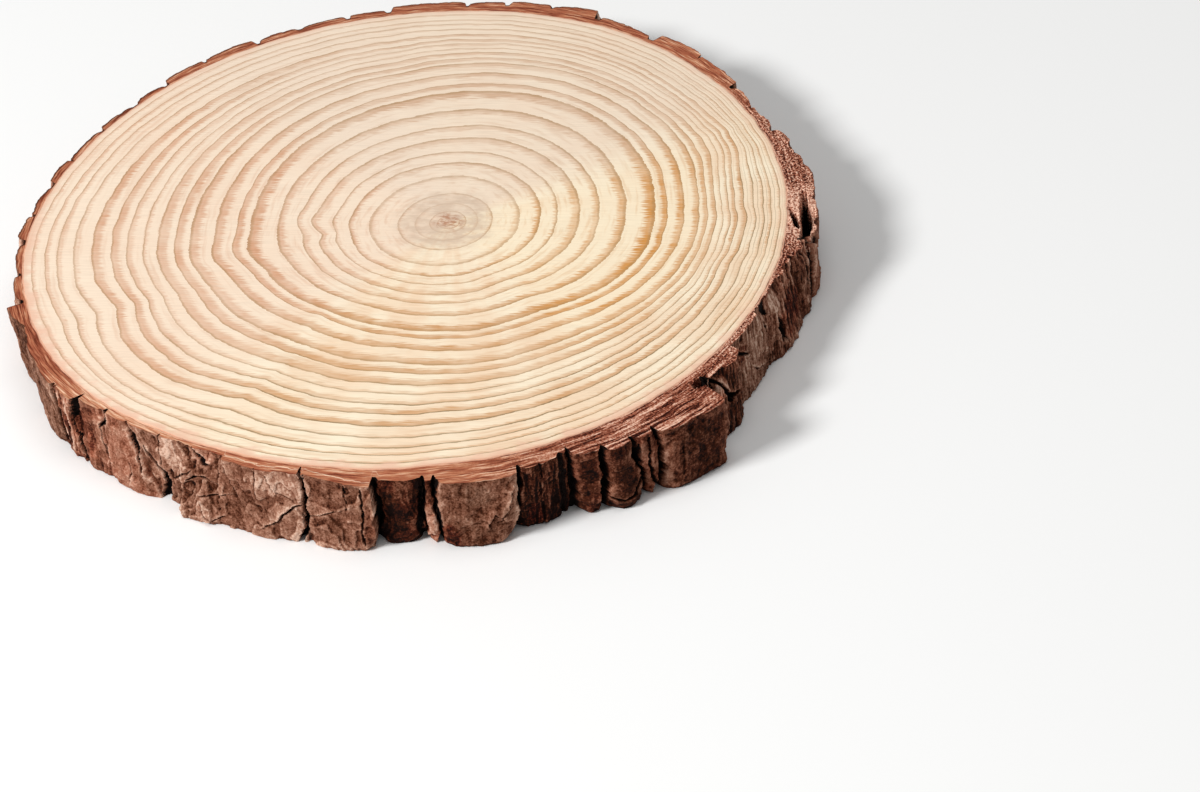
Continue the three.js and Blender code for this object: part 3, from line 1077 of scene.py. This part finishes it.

        # Painted light and shade: edges that stand out are painted pale as highlights, hollows are painted dark as
        # shade, and higher scales are painted paler than lower ones.
        shape = (self.wall_rows + 1, self.columns)
        height = thickness.reshape(shape)
        edge_light_and_shade = sum(
            np.clip((height - softened(height, passes)) / relief, -1, 1) for passes, relief in self.light_and_shade_blurs
        )
        paleness, rust = self.patched(angle, level, skin)
        paleness += of_plate(lambda p: p.weathered)
        paleness += self.scale_light_and_shade * scales * depth[0] + self.light_and_shade_tone * edge_light_and_shade.ravel()
        values = {
            "thickness": thickness,
            "crack": np.maximum(crack, split),
            "age": paleness,
            "rust": np.clip(rust + of_plate(lambda p: p.rust), 0, 1),
            "fibrous": np.clip(2 * depth[1], 0, 1),
        }
        return {name: grid.reshape(shape) for name, grid in values.items()}

    def rounding(self, gap: Array, level: Array, opened: Array, stands: Array) -> Array:
        """Find how far a plate's edge is rounded off beside a crack.

        Args:
            gap: Distances from the crack.
            level: Heights from 0 at the foot to 1 at the top.
            opened: How open the crack is, from 0 to 1.
            stands: How far the plate stands above the next one where bark is torn.

        Returns:
            Depths in millimetres.
        """
        foot = 1 - smooth_step(level, 0, self.corner_height)
        edge = self.shoulder * bell(gap, self.shoulder_width)
        edge += self.corner * bell(gap, self.corner_width) * foot
        lost = 1 + self.lost_foot * (1 - smooth_step(level, 0, self.lost_height))
        return edge * opened + self.lost_corner * lost * stands * bell(gap, self.lost_width)

    def worn_off(self, skin: Array, level: Array, torn: Array) -> Array:
        """Find what is rounded off the wall's foot and chipped off its rim.

        Args:
            skin: Places on the outer wall.
            level: Heights from 0 at the foot to 1 at the top.
            torn: How much of the sawn bark is torn there.

        Returns:
            Depths in millimetres.
        """
        foot = self.foot_round * (0.7 + Noise.FOOT.at(skin))
        foot *= 1 - smooth_step(level, 0, self.foot_height)
        chips = smooth_step(Noise.CHIPS.at(skin), -0.2, 0.5) * (self.chipping + self.torn_chipping * torn)
        return foot + chips * smooth_step(level, 0.8, 1.0)

    def patched(self, angle: Array, level: Array, skin: Array) -> tuple[Array, Array]:
        """Find what the patches add to the wall.

        Args:
            angle: Angles round the trunk.
            level: Heights from 0 at the foot to 1 at the top.
            skin: Places on the outer wall.

        Returns:
            The added ageing and the added rust.
        """
        paleness, rust = np.zeros(len(angle)), np.zeros(len(angle))
        ragged = 0.35 * Noise.PATCH_EDGE.at(skin)
        for patch in self.patches:
            off = np.hypot((angle - patch.angle) / patch.wide, (level - patch.level) / patch.tall)
            inside = 1 - smooth_step(off + ragged, 0.7, 1.1)
            paleness += patch.weathered * inside
            rust += patch.rust * inside
        return paleness, rust

    def split_open(self, angle: Array, level: Array) -> tuple[Array, Array, Array]:
        """Cut the fissures into the wall and curl up their edges.

        Args:
            angle: Angles round the trunk.
            level: Heights from 0 at the foot to 1 at the top.

        Returns:
            How far the wall is lifted, how deep it is cut, and how much of it lies in a fissure, as the share of
            painted shade it gets, darker for deeper fissures.
        """
        lift, cut, split = (np.zeros(len(angle)) for _ in range(3))
        across, up = self.arc, self.trunk.thickness
        for fissure in self.fissures:
            # Deeper fissures are painted darker: painted shade.
            dark = min(1.0, 0.1 + fissure.depth / self.fissure_shade_depth)
            for first, last in zip(fissure.path, fissure.path[1:]):
                way = ((last[0] - first[0]) * across, (last[1] - first[1]) * up)
                x = turned_off(angle, first[0]) * across
                z = (level - first[1]) * up
                share = np.clip((x * way[0] + z * way[1]) / (way[0] ** 2 + way[1] ** 2), 0, 1)
                off = np.hypot(x - share * way[0], z - share * way[1])
                width = blend(first[2], last[2], share)
                left = np.sign(way[0] * z - way[1] * x) * np.sign(fissure.curl) > 0
                rolled = abs(fissure.curl) * bell(off, self.curl_width)
                lift = np.maximum(lift, np.where(left, rolled, 0))
                cut = np.maximum(cut, fissure.depth * (1 - smooth_step(off, 0.4 * width, 1.1 * width)))
                split = np.maximum(split, dark * (1 - smooth_step(off, 0.5 * width, width + 0.15)))
        return lift, cut, split

    def scales(self, skin: Array) -> Array:
        """Lay thin scales over the wall, large and small, each with a steep edge.

        Args:
            skin: Places on the outer wall.

        Returns:
            Heights, in steps of about 1 around 0.
        """
        stacked = np.zeros(len(skin))
        kinds = ((Noise.SCALES, 2.8, 1.0, 0.88), (Noise.SMALL_SCALES, 2.2, 0.22, 0.85))
        for pattern, count, height, edge in kinds:
            slow = count * pattern.at(skin)
            steps = np.floor(slow)
            stacked += height * (steps + smooth_step(slow - steps, edge, 1.0))
        return stacked

    def hollows(self, angle: Array, layer: Array, level: Array, across: Array) -> tuple[Array, Array]:
        """Sink the upper sawn face into its holes and give it a torn, uneven surface.

        Args:
            angle: Angles round the trunk.
            layer: Distances from the wood.
            level: Heights from 0 at the foot to 1 at the top.
            across: Share of the way from the wood to the outer wall.

        Returns:
            How far each vertex drops, and how much it lies in a hole, where it is painted near black as shade.
        """
        upper = (level > 1 - TOUCH) & (across > TOUCH) & (across < 1 - TOUCH)
        turn = np.radians(angle)
        x, y = self.face_radius * np.cos(turn), self.face_radius * np.sin(turn)
        face = np.stack([x, y, layer * self.face_stretch], axis=1)
        uneven = (self.saw_depth + self.torn_depth * self.torn_share(turn)) * Noise.SAWN_FACE.at(face)
        torn = np.where(upper, np.clip(self.saw_depth + uneven, 0, self.most_torn), 0)
        ragged = 0.24 * Noise.HOLE_EDGE.at(face)
        hollow = np.zeros(len(angle))
        sunk = np.zeros(len(angle))
        for hole in self.cavities:
            off = turned_off(angle, hole.angle)
            middle, half = (hole.near + hole.far) / 2 + hole.slant * off, (hole.far - hole.near) / 2
            apart = np.hypot(off / hole.width, (layer - middle) / half) + ragged
            inside = np.where(upper, 1 - smooth_step(apart, 0.8, 1.1), 0)
            sunk = np.maximum(sunk, hole.depth * inside)
            hollow = np.maximum(hollow, inside)
        return torn + sunk, smooth_step(hollow, 0.1, 0.6)

    def dress(self, pieces: list[bpy.types.Object]) -> None:
        """Give the ring its finish and tie it to the frame."""
        put_on(pieces, PineBark().make(), "bark")


@dataclass(frozen=True)
class RingTint:
    """How the wood is tinted on one side: the side's angle, the cosines between which the tint
    sets in, the share of the way from pith to bark at which it ends, its pale and its dark colour,
    and how much of the dark it leaves."""

    angle: float
    starts: float
    full: float
    reach: float
    early: str
    late: str
    strength: float


@dataclass(frozen=True)
class PineEndGrain:
    """Pine, sawn across the grain and sanded: pale matt rings that each darken to a thin line."""

    early: str = "#ffefd3"
    early_shade: str = "#f8dcbc"
    late: str = "#d39d69"
    edge_line: str = "#a88456"
    outer_line: str = "#8c7550"
    line_side: float = 300.0
    crowded_side: float = 8.0
    pink_side: float = 250.0
    heart: str = "#d6bca4"
    pith: str = "#b98263"
    growing_layer: str = "#efbfa4"
    saw_way: float = -10.0
    roughness: float = 0.62
    specular: float = 0.3
    streak_bump: float = 0.25
    streak_depth: float = 0.15
    tint_fade: float = 0.1
    tint_early: float = 0.75
    tints: tuple[RingTint, ...] = (
        RingTint(338, 0.6, 0.92, 0.7, "#ffedcd", "#d8964c", 1.0),
        RingTint(162, 0.2, 0.75, 1.2, "#f8e0c9", "#d79f7a", 0.92),
        RingTint(80, 0.4, 0.8, 1.2, "#f4dfc9", "#cda07c", 0.75),
    )

    def make(self) -> bpy.types.Material:
        """Make the material.

        Returns:
            A material that reads the disc's ring and ray attributes.
        """
        surface = Surface("pine_end_grain_sanded", self.roughness, self.specular)
        add = surface.add
        ray = add("Attribute", "ray", output="Vector")
        share = add("SeparateXYZ", None, ray, output="Z")
        drawn = partial(self.drawn, surface, add("TexCoord", None, output="Object"))

        colour = self.rings(surface, ray, share, drawn)

        # The heart is greyer, the pith brown, and the last growth next to the bark pink.
        ragged = add("Math", "MULTIPLY_ADD", drawn(6, 4, 4), 0.09, share)
        greyed = add("MapRange", "SMOOTHSTEP", ragged, 0.2, 0.14, 0, 0.75)
        blotches = add("MapRange", "SMOOTHSTEP", drawn(5, 2.5, 4), 0.36, 0.62, 0.4, 1)
        greyed = add("Math", "MULTIPLY", greyed, blotches)
        colour = add("Mix", "RGBA", greyed, colour, linear(self.heart))
        core = add("MapRange", "SMOOTHSTEP", ragged, 0.095, 0.06, 0, 0.85)
        crumbs = add("MapRange", "SMOOTHSTEP", drawn(1.6, 0.8, 3), 0.4, 0.6, 0.15, 1)
        core = add("Math", "MULTIPLY", core, crumbs)
        colour = add("Mix", "RGBA", core, colour, linear(self.pith))
        pink = surface.towards(ray, self.pink_side, -0.1, 0.6)
        pink = add("Math", "MULTIPLY_ADD", pink, 0.45, 0.3)
        last = add("MapRange", "SMOOTHSTEP", ragged, 1.015, 1.045, 0, 1)
        pink = add("Math", "MULTIPLY", last, pink)
        colour = add("Mix", "RGBA", pink, colour, linear(self.growing_layer))

        # Sanding left finer streaks, about 0.25 mm wide, the same way.
        fine = drawn(9, 0.25, 3)
        shade = add("MapRange", "SMOOTHSTEP", fine, 0.3, 0.7, 0.93, 1.04)
        streaked = add("HueSaturation", None, Color=colour, Value=shade)
        return surface.end(streaked, fine, self.streak_bump, self.streak_depth)

    def drawn(self, surface: Surface, place: Socket, length: float, width: float, detail: float) -> Socket:
        """Draw noise out along the saw's way.

        Args:
            surface: The material in the making.
            place: Coordinates in metres.
            length: Length of the streaks in millimetres.
            width: Their width.
            detail: How much finer noise is added.

        Returns:
            The noise, around a half.
        """
        way = (0.0, 0.0, math.radians(self.saw_way))
        size = (length * MM, width * MM, 1.0)
        turned = surface.add("Mapping", "TEXTURE", place, Rotation=way, Scale=size)
        return surface.add("TexNoise", None, turned, Scale=1.0, Detail=detail)

    def rings(self, surface: Surface, ray: Socket, share: Socket, drawn: partial[Socket]) -> Socket:
        """Colour the growth rings.

        Args:
            surface: The material in the making.
            ray: The way from the pith, and the share of it that is gone.
            share: That share alone.
            drawn: Gives noise along the saw's way.

        Returns:
            The rings' colour.
        """
        add = surface.add
        names = ("ring_count", "latewood", "tone")
        count, latewood, tone = (add("Attribute", name, output="Fac") for name in names)
        towards = partial(surface.towards, ray)
        grain = partial(surface.grain, ray)

        # The saw drew fibres, about 0.35 mm wide and 5 mm long, out of the dark edges of the rings.
        fibres = drawn(5, 0.35, 3)
        within = add("Math", "FRACT", add("Math", "MULTIPLY_ADD", drawn(6, 0.7, 2), 0.12, count))
        begins = add("Math", "SUBTRACT", 1.0, latewood)
        full = add("Math", "MULTIPLY_ADD", latewood, -0.5, 1.0)
        frayed = add("Math", "ADD", within, add("MapRange", "SMOOTHSTEP", fibres, 0.3, 0.7, -0.15, 0.12))
        late = add("Math", "MULTIPLY", add("MapRange", "SMOOTHSTEP", frayed, begins, full, 0, 1), tone)
        patchy = add("MapRange", "SMOOTHSTEP", grain((7, 7, 14), 3), 0.3, 0.7, 0.7, 1.1)
        late = add("Math", "MULTIPLY", late, patchy)
        late = add("Math", "MULTIPLY", late, add("MapRange", "SMOOTHSTEP", fibres, 0.3, 0.7, 0.75, 1.1))

        # A dark line ends each year, sharpest in the outer years on the near side.
        line = add("MapRange", "SMOOTHSTEP", within, 0.84, 0.95, 0, 1)
        line = add("Math", "MULTIPLY", line, add("MapRange", "SMOOTHSTEP", tone, 0.25, 0.5, 0.2, 0.58))
        outer = add("MapRange", "SMOOTHSTEP", share, 0.62, 0.85, 0, 1)
        outer = add("Math", "MULTIPLY", towards(self.line_side, -0.1, 0.7), outer)
        line = add("Math", "MULTIPLY", line, add("Math", "MULTIPLY_ADD", outer, 0.55, 0.85))

        # On the right the last years are crowded, and a second line halves each of them.
        halves = add("Math", "FRACT", add("Math", "MULTIPLY_ADD", within, 2.0, 0.1))
        crowded = add("MapRange", "SMOOTHSTEP", share, 0.83, 0.92, 0, 0.5)
        crowded = add("Math", "MULTIPLY", towards(self.crowded_side, 0.6, 0.95), crowded)
        second = add("MapRange", "SMOOTHSTEP", halves, 0.75, 0.93, 0, 1)
        line = add("Math", "MAXIMUM", line, add("Math", "MULTIPLY", second, crowded))
        line = add("Math", "MULTIPLY", line, patchy)
        false_rings = add("MapRange", "SMOOTHSTEP", grain((4, 4, 85), 3), 0.48, 0.75, 0, 0.3)

        clouded = add("MapRange", "SMOOTHSTEP", grain((5, 5, 6), 3), 0.3, 0.7, 0, 1)
        pale = add("Mix", "RGBA", clouded, linear(self.early), linear(self.early_shade))
        dark = linear(self.late)
        for tint in self.tints:
            facing = towards(tint.angle, tint.starts, tint.full)
            ends, fades = tint.reach + self.tint_fade, tint.reach - self.tint_fade
            amount = add("MapRange", "SMOOTHSTEP", share, ends, fades, 0, 1)
            amount = add("Math", "MULTIPLY", facing, amount)
            paler = add("Math", "MULTIPLY", amount, self.tint_early)
            pale = add("Mix", "RGBA", paler, pale, linear(tint.early))
            dark = add("Mix", "RGBA", amount, dark, linear(tint.late))
            left = add("Math", "MULTIPLY_ADD", facing, tint.strength - 1, 1.0)
            late = add("Math", "MULTIPLY", late, left)
        colour = add("Mix", "RGBA", false_rings, pale, dark)
        colour = add("Mix", "RGBA", late, colour, dark)
        lined = add("Mix", "RGBA", outer, linear(self.edge_line), linear(self.outer_line))
        return add("Mix", "RGBA", line, colour, lined)


@dataclass(frozen=True)
class PineBark:
    """Pine bark, weathered outside and sawn above: grey-brown scales, cracks painted near black as shade, red layers.
    """

    age_stops: Stops = (
        (0.0, "#120401"),
        (0.25, "#46220f"),
        (0.5, "#7b523f"),
        (0.75, "#a67c67"),
        (1.0, "#d6b39e"),
    )
    rust_stops: Stops = (
        (0.0, "#150301"),
        (0.25, "#4a170b"),
        (0.5, "#8a4a33"),
        (0.75, "#b2735a"),
        (1.0, "#d8a68e"),
    )
    smooth_stops: Stops = ((0.38, "#6e3321"), (0.46, "#a45a40"), (0.54, "#c4825f"), (0.64, "#f2c8a8"))
    torn_stops: Stops = ((0.44, "#2c0d07"), (0.478, "#7c3c29"), (0.524, "#b26d53"), (0.58, "#f6cbb2"))
    # Near black: painted shade in the cracks, fissures, holes and finest pits.
    crack: str = "#0d0503"
    lip: str = "#f6d3b6"
    inner_layer: str = "#e8b598"
    shaded_rim: str = "#54301f"
    shaded_side: float = 118.0
    lip_side: float = 252.5
    lip_inset: float = 2.1
    pale_side: float = 222.0
    flap_side: float = 200.0
    grit_side: float = 352.0
    frayed_side: float = 354.0
    roughness: float = 0.9
    specular: float = 0.1
    noise_roughness: float = 0.62
    bump: float = 0.8
    bump_depth: float = 0.5

    def make(self) -> bpy.types.Material:
        """Make the material.

        Returns:
            A material that reads the ring's attributes.
        """
        surface = Surface("pine_bark_weathered_and_sawn", self.roughness, self.specular)
        add = surface.add
        names = ("crack", "age", "rust", "fibrous", "sawn", "inset", "torn")
        read = {name: add("Attribute", name, output="Fac") for name in names}
        wrap = add("Attribute", "wrap", output="Vector")
        lumps = partial(self.lumps, surface, add("TexCoord", None, output="Object"))
        pits = lumps(0.5, 2)

        outer, mottle = self.weathered(surface, read, lumps, pits)
        sawn, rough = self.sawn(surface, read, wrap, lumps)
        colour = add("Mix", "RGBA", read["sawn"], outer, sawn)
        # Painted shade: cracks, fissures and holes are painted near black, with ragged edges.
        ragged = add("MapRange", "SMOOTHSTEP", pits, 0.3, 0.7, -0.25, 0.25)
        black = add("Math", "ADD", read["crack"], ragged)
        black = add("MapRange", "SMOOTHSTEP", black, 0.3, 0.7, 0, 1)
        near_crack = add("MapRange", "SMOOTHSTEP", read["crack"], 0.05, 0.2, 0, 1)
        black = add("Math", "MULTIPLY", black, near_crack)
        colour = add("Mix", "RGBA", black, colour, linear(self.crack))
        height = add("Mix", "FLOAT", read["sawn"], add("Mix", "FLOAT", 0.6, mottle, pits), rough)
        return surface.end(colour, height, self.bump, self.bump_depth)

    def lumps(
        self, surface: Surface, place: Socket, size: float, detail: float, stretch: float = 1.0
    ) -> Socket:
        """Lay noise in space, with lumps of a size in millimetres that are stretched upright."""
        scale = 1 / (size * MM)
        return surface.grain(place, (scale, scale, scale / stretch), detail, self.noise_roughness)

    def weathered(
        self, surface: Surface, read: dict[str, Socket], lumps: partial[Socket], pits: Socket
    ) -> tuple[Socket, Socket]:
        """Colour the outside: flecks of about 3 mm, or upright fibres, older or younger than the plate, with painted
        shade in the finest pits.

        Args:
            surface: The material in the making.
            read: The ring's attributes by name.
            lumps: Gives noise in space.
            pits: The finest noise.

        Returns:
            The colour, and the noise that mottles it.
        """
        add = surface.add
        fibrous = add("Math", "MULTIPLY", read["fibrous"], 0.8)
        mottle = add("Mix", "FLOAT", fibrous, lumps(3.0, 6), lumps(1.6, 4, 7))
        age = add("Math", "SUBTRACT", read["age"], 0.98)
        age = add("Math", "MULTIPLY_ADD", mottle, 1.15, age)
        age = add("Math", "MULTIPLY_ADD", pits, 0.8, age)
        threads = add("Math", "SUBTRACT", lumps(0.7, 3, 8), 0.5)
        threads = add("Math", "MULTIPLY", read["fibrous"], threads)
        age = add("Math", "MULTIPLY_ADD", threads, 1.6, age)
        rusty = add("MapRange", "SMOOTHSTEP", lumps(5, 4), 0.35, 0.6, 0.4, 1)
        rusty = add("Math", "MULTIPLY", read["rust"], rusty)
        brown, red = add("ValToRGB", self.age_stops, age), add("ValToRGB", self.rust_stops, age)
        outer = add("Mix", "RGBA", rusty, brown, red)
        # Painted shade: the finest pits, the low dents of the bump, are darkened towards the crack colour.
        pit_shade = add("MapRange", "SMOOTHSTEP", pits, 0.36, 0.24, 0, 0.5)
        return add("Mix", "RGBA", pit_shade, outer, linear(self.crack)), mottle

    def sawn(
        self, surface: Surface, read: dict[str, Socket], wrap: Socket, lumps: partial[Socket]
    ) -> tuple[Socket, Socket]:
        """Colour the sawn face: layers about 0.6 mm thick, smooth, or torn into grit on one side.

        Args:
            surface: The material in the making.
            read: The ring's attributes by name.
            wrap: The way from the trunk's middle, and the distance from the wood.
            lumps: Gives noise in space.

        Returns:
            The colour, and the noise that roughens it.
        """
        add = surface.add
        towards = partial(surface.towards, wrap)
        layers, threads = (
            surface.grain(wrap, scale, 3, self.noise_roughness) for scale in ((9, 9, 1.5), (22, 22, 4))
        )
        # Painted shade: the sawn face is darkened a little on the shaded side at the back.
        shaded = towards(self.shaded_side, 0.1, 0.6)
        paler = add("Mix", "FLOAT", 0.45, layers, threads)
        paler = add("Math", "MULTIPLY_ADD", towards(self.pale_side, 0.97, 0.995), 0.065, paler)
        paler = add("Math", "MULTIPLY_ADD", towards(self.flap_side, 0.975, 0.99), -0.04, paler)
        paler = add("Math", "MULTIPLY_ADD", shaded, -0.025, paler)
        smooth = add("ValToRGB", self.smooth_stops, paler)

        # The rim is painted dark with shade at the back, and a pale lip runs along it in front.
        rim = add("Math", "MULTIPLY_ADD", threads, 0.9, read["inset"])
        rim = add("MapRange", "SMOOTHSTEP", rim, 1.25, 0.55, 0, 0.85)
        rim = add("Math", "MULTIPLY", rim, shaded)
        smooth = add("Mix", "RGBA", rim, smooth, linear(self.shaded_rim))
        lip = add("Math", "ABSOLUTE", add("Math", "SUBTRACT", read["inset"], self.lip_inset))
        lip = add("MapRange", "SMOOTHSTEP", lip, 0.25, 0.1, 0, 0.8)
        lip = add("Math", "MULTIPLY", lip, towards(self.lip_side, 0.97, 0.985))
        lip = add("Math", "MULTIPLY", lip, add("MapRange", "SMOOTHSTEP", layers, 0.4, 0.55, 0.3, 1))
        smooth = add("Mix", "RGBA", lip, smooth, linear(self.lip))

        gritty = add("Math", "MULTIPLY_ADD", towards(self.grit_side, 0.7, 0.92), 0.35, 0.25)
        rough = add("Mix", "FLOAT", gritty, add("Mix", "FLOAT", 0.4, layers, threads), lumps(0.55, 3))
        rough = add("Math", "MULTIPLY_ADD", towards(self.frayed_side, 0.99, 0.999), 0.05, rough)
        sawn = add("Mix", "RGBA", read["torn"], smooth, add("ValToRGB", self.torn_stops, rough))
        layer = add("SeparateXYZ", None, wrap, output="Z")
        inmost = add("Math", "MULTIPLY_ADD", threads, -1.2, layer)
        inmost = add("MapRange", "SMOOTHSTEP", inmost, 0.1, -0.3, 0, 0.8)
        return add("Mix", "RGBA", inmost, sawn, linear(self.inner_layer)), rough


@dataclass(frozen=True)
class PaintedFloor:
    """Paint on a studio floor: matt and near white, so that shadows fall soft and plain."""

    colour: str = "#fafaf9"
    roughness: float = 0.8
    specular: float = 0.2

    def make(self) -> bpy.types.Material:
        """Make the plain material."""
        surface = Surface("studio_floor_painted", self.roughness, self.specular)
        surface.shader.inputs["Base Color"].default_value = linear(self.colour)
        return surface.material


@dataclass(frozen=True)
class Lamp:
    """A soft lamp: where it hangs, how wide it is and how strong, in metres and watts."""

    name: str
    place: tuple[float, float, float]
    width: float
    power: float


@dataclass
class Studio:
    """The floor, the light and the camera."""

    trunk: Trunk
    floor_width: float = 8.0
    floor_gap: float = 0.2
    sky: float = 0.24
    lamps: tuple[Lamp, ...] = (
        Lamp("key_lamp", (-1.3, -0.8, 1.25), 0.5, 34.0),
        Lamp("fill_lamp", (0.2, -0.1, 1.7), 1.2, 7.5),
    )
    camera_place: tuple[float, float, float] = (47.7, -839.4, 611.0)
    camera_pitch: float = 38.91
    camera_roll: float = -5.21
    lens: float = 114.0
    sensor: float = 36.0
    near_clip: float = 0.01

    def build(self) -> None:
        """Build the floor, the light and the camera."""
        self.build_floor()
        self.build_light()
        self.build_camera()

    def build_floor(self) -> None:
        """Lay the floor just under the slice."""
        patch = bmesh.new()
        bmesh.ops.create_grid(patch, x_segments=1, y_segments=1, size=self.floor_width / 2)
        bmesh.ops.translate(patch, verts=patch.verts[:], vec=(0, 0, -self.floor_gap * MM))
        mesh = bpy.data.meshes.new("floor")
        patch.to_mesh(mesh)
        patch.free()
        floor = bpy.data.objects.new("floor", mesh)
        floor.data.materials.append(PaintedFloor().make())
        bpy.context.scene.collection.objects.link(floor)
        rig.stage(floor)

    def build_light(self) -> None:
        """Hang the lamps and set the even light from all round."""
        scene = bpy.context.scene
        scene.view_settings.view_transform = "Standard"
        scene.world = bpy.data.worlds.new("studio")
        scene.world.use_nodes = True
        sky = scene.world.node_tree.nodes["Background"]
        sky.inputs["Color"].default_value = (1.0, 1.0, 1.0, 1.0)
        sky.inputs["Strength"].default_value = self.sky
        for lamp in self.lamps:
            light = bpy.data.lights.new(lamp.name, "AREA")
            light.shape = "DISK"
            light.size = lamp.width
            light.energy = lamp.power
            hung = bpy.data.objects.new(lamp.name, light)
            hung.location = lamp.place
            hung.rotation_euler = (-Vector(lamp.place)).to_track_quat("-Z", "Y").to_euler()
            scene.collection.objects.link(hung)

    def build_camera(self) -> None:
        """Set the camera, placed from the middle of the upper sawn face."""
        view = bpy.data.cameras.new("camera")
        view.sensor_width = self.sensor
        view.lens = self.lens
        view.clip_start = self.near_clip
        camera = bpy.data.objects.new("camera", view)
        face = Vector((*self.trunk.centre, self.trunk.thickness))
        tilt = Matrix.Rotation(math.radians(90 - self.camera_pitch), 4, "X")
        roll = Matrix.Rotation(math.radians(self.camera_roll), 4, "Z")
        place = Matrix.Translation((face + Vector(self.camera_place)) * MM)
        camera.matrix_world = place @ tilt @ roll
        bpy.context.scene.collection.objects.link(camera)
        bpy.context.scene.camera = camera


def main() -> None:
    """Load the frame, build the studio and the slice, and note the sizes."""
    logging.basicConfig(level=logging.INFO, format="%(name)s: %(message)s")
    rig.load()
    cad_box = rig.bounds()
    low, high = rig.box("wood")
    trunk = Trunk(thickness=(high.z - low.z) / MM)
    Studio(trunk).build()
    for part in (WoodDisc(trunk), BarkRing(trunk)):
        pieces = part.build()
        part.dress(pieces)
        for piece in pieces:
            LOG.info("%s: %d faces", piece.name, len(piece.data.polygons))
    boxes = {
        "cad": [list(corner) for corner in cad_box],
        "visual": [list(corner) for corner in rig.bounds()],
    }
    SIZE_FILE.write_text(json.dumps(boxes))
    LOG.info("size noted in %s", SIZE_FILE.name)


if __name__ == "__main__":
    main()
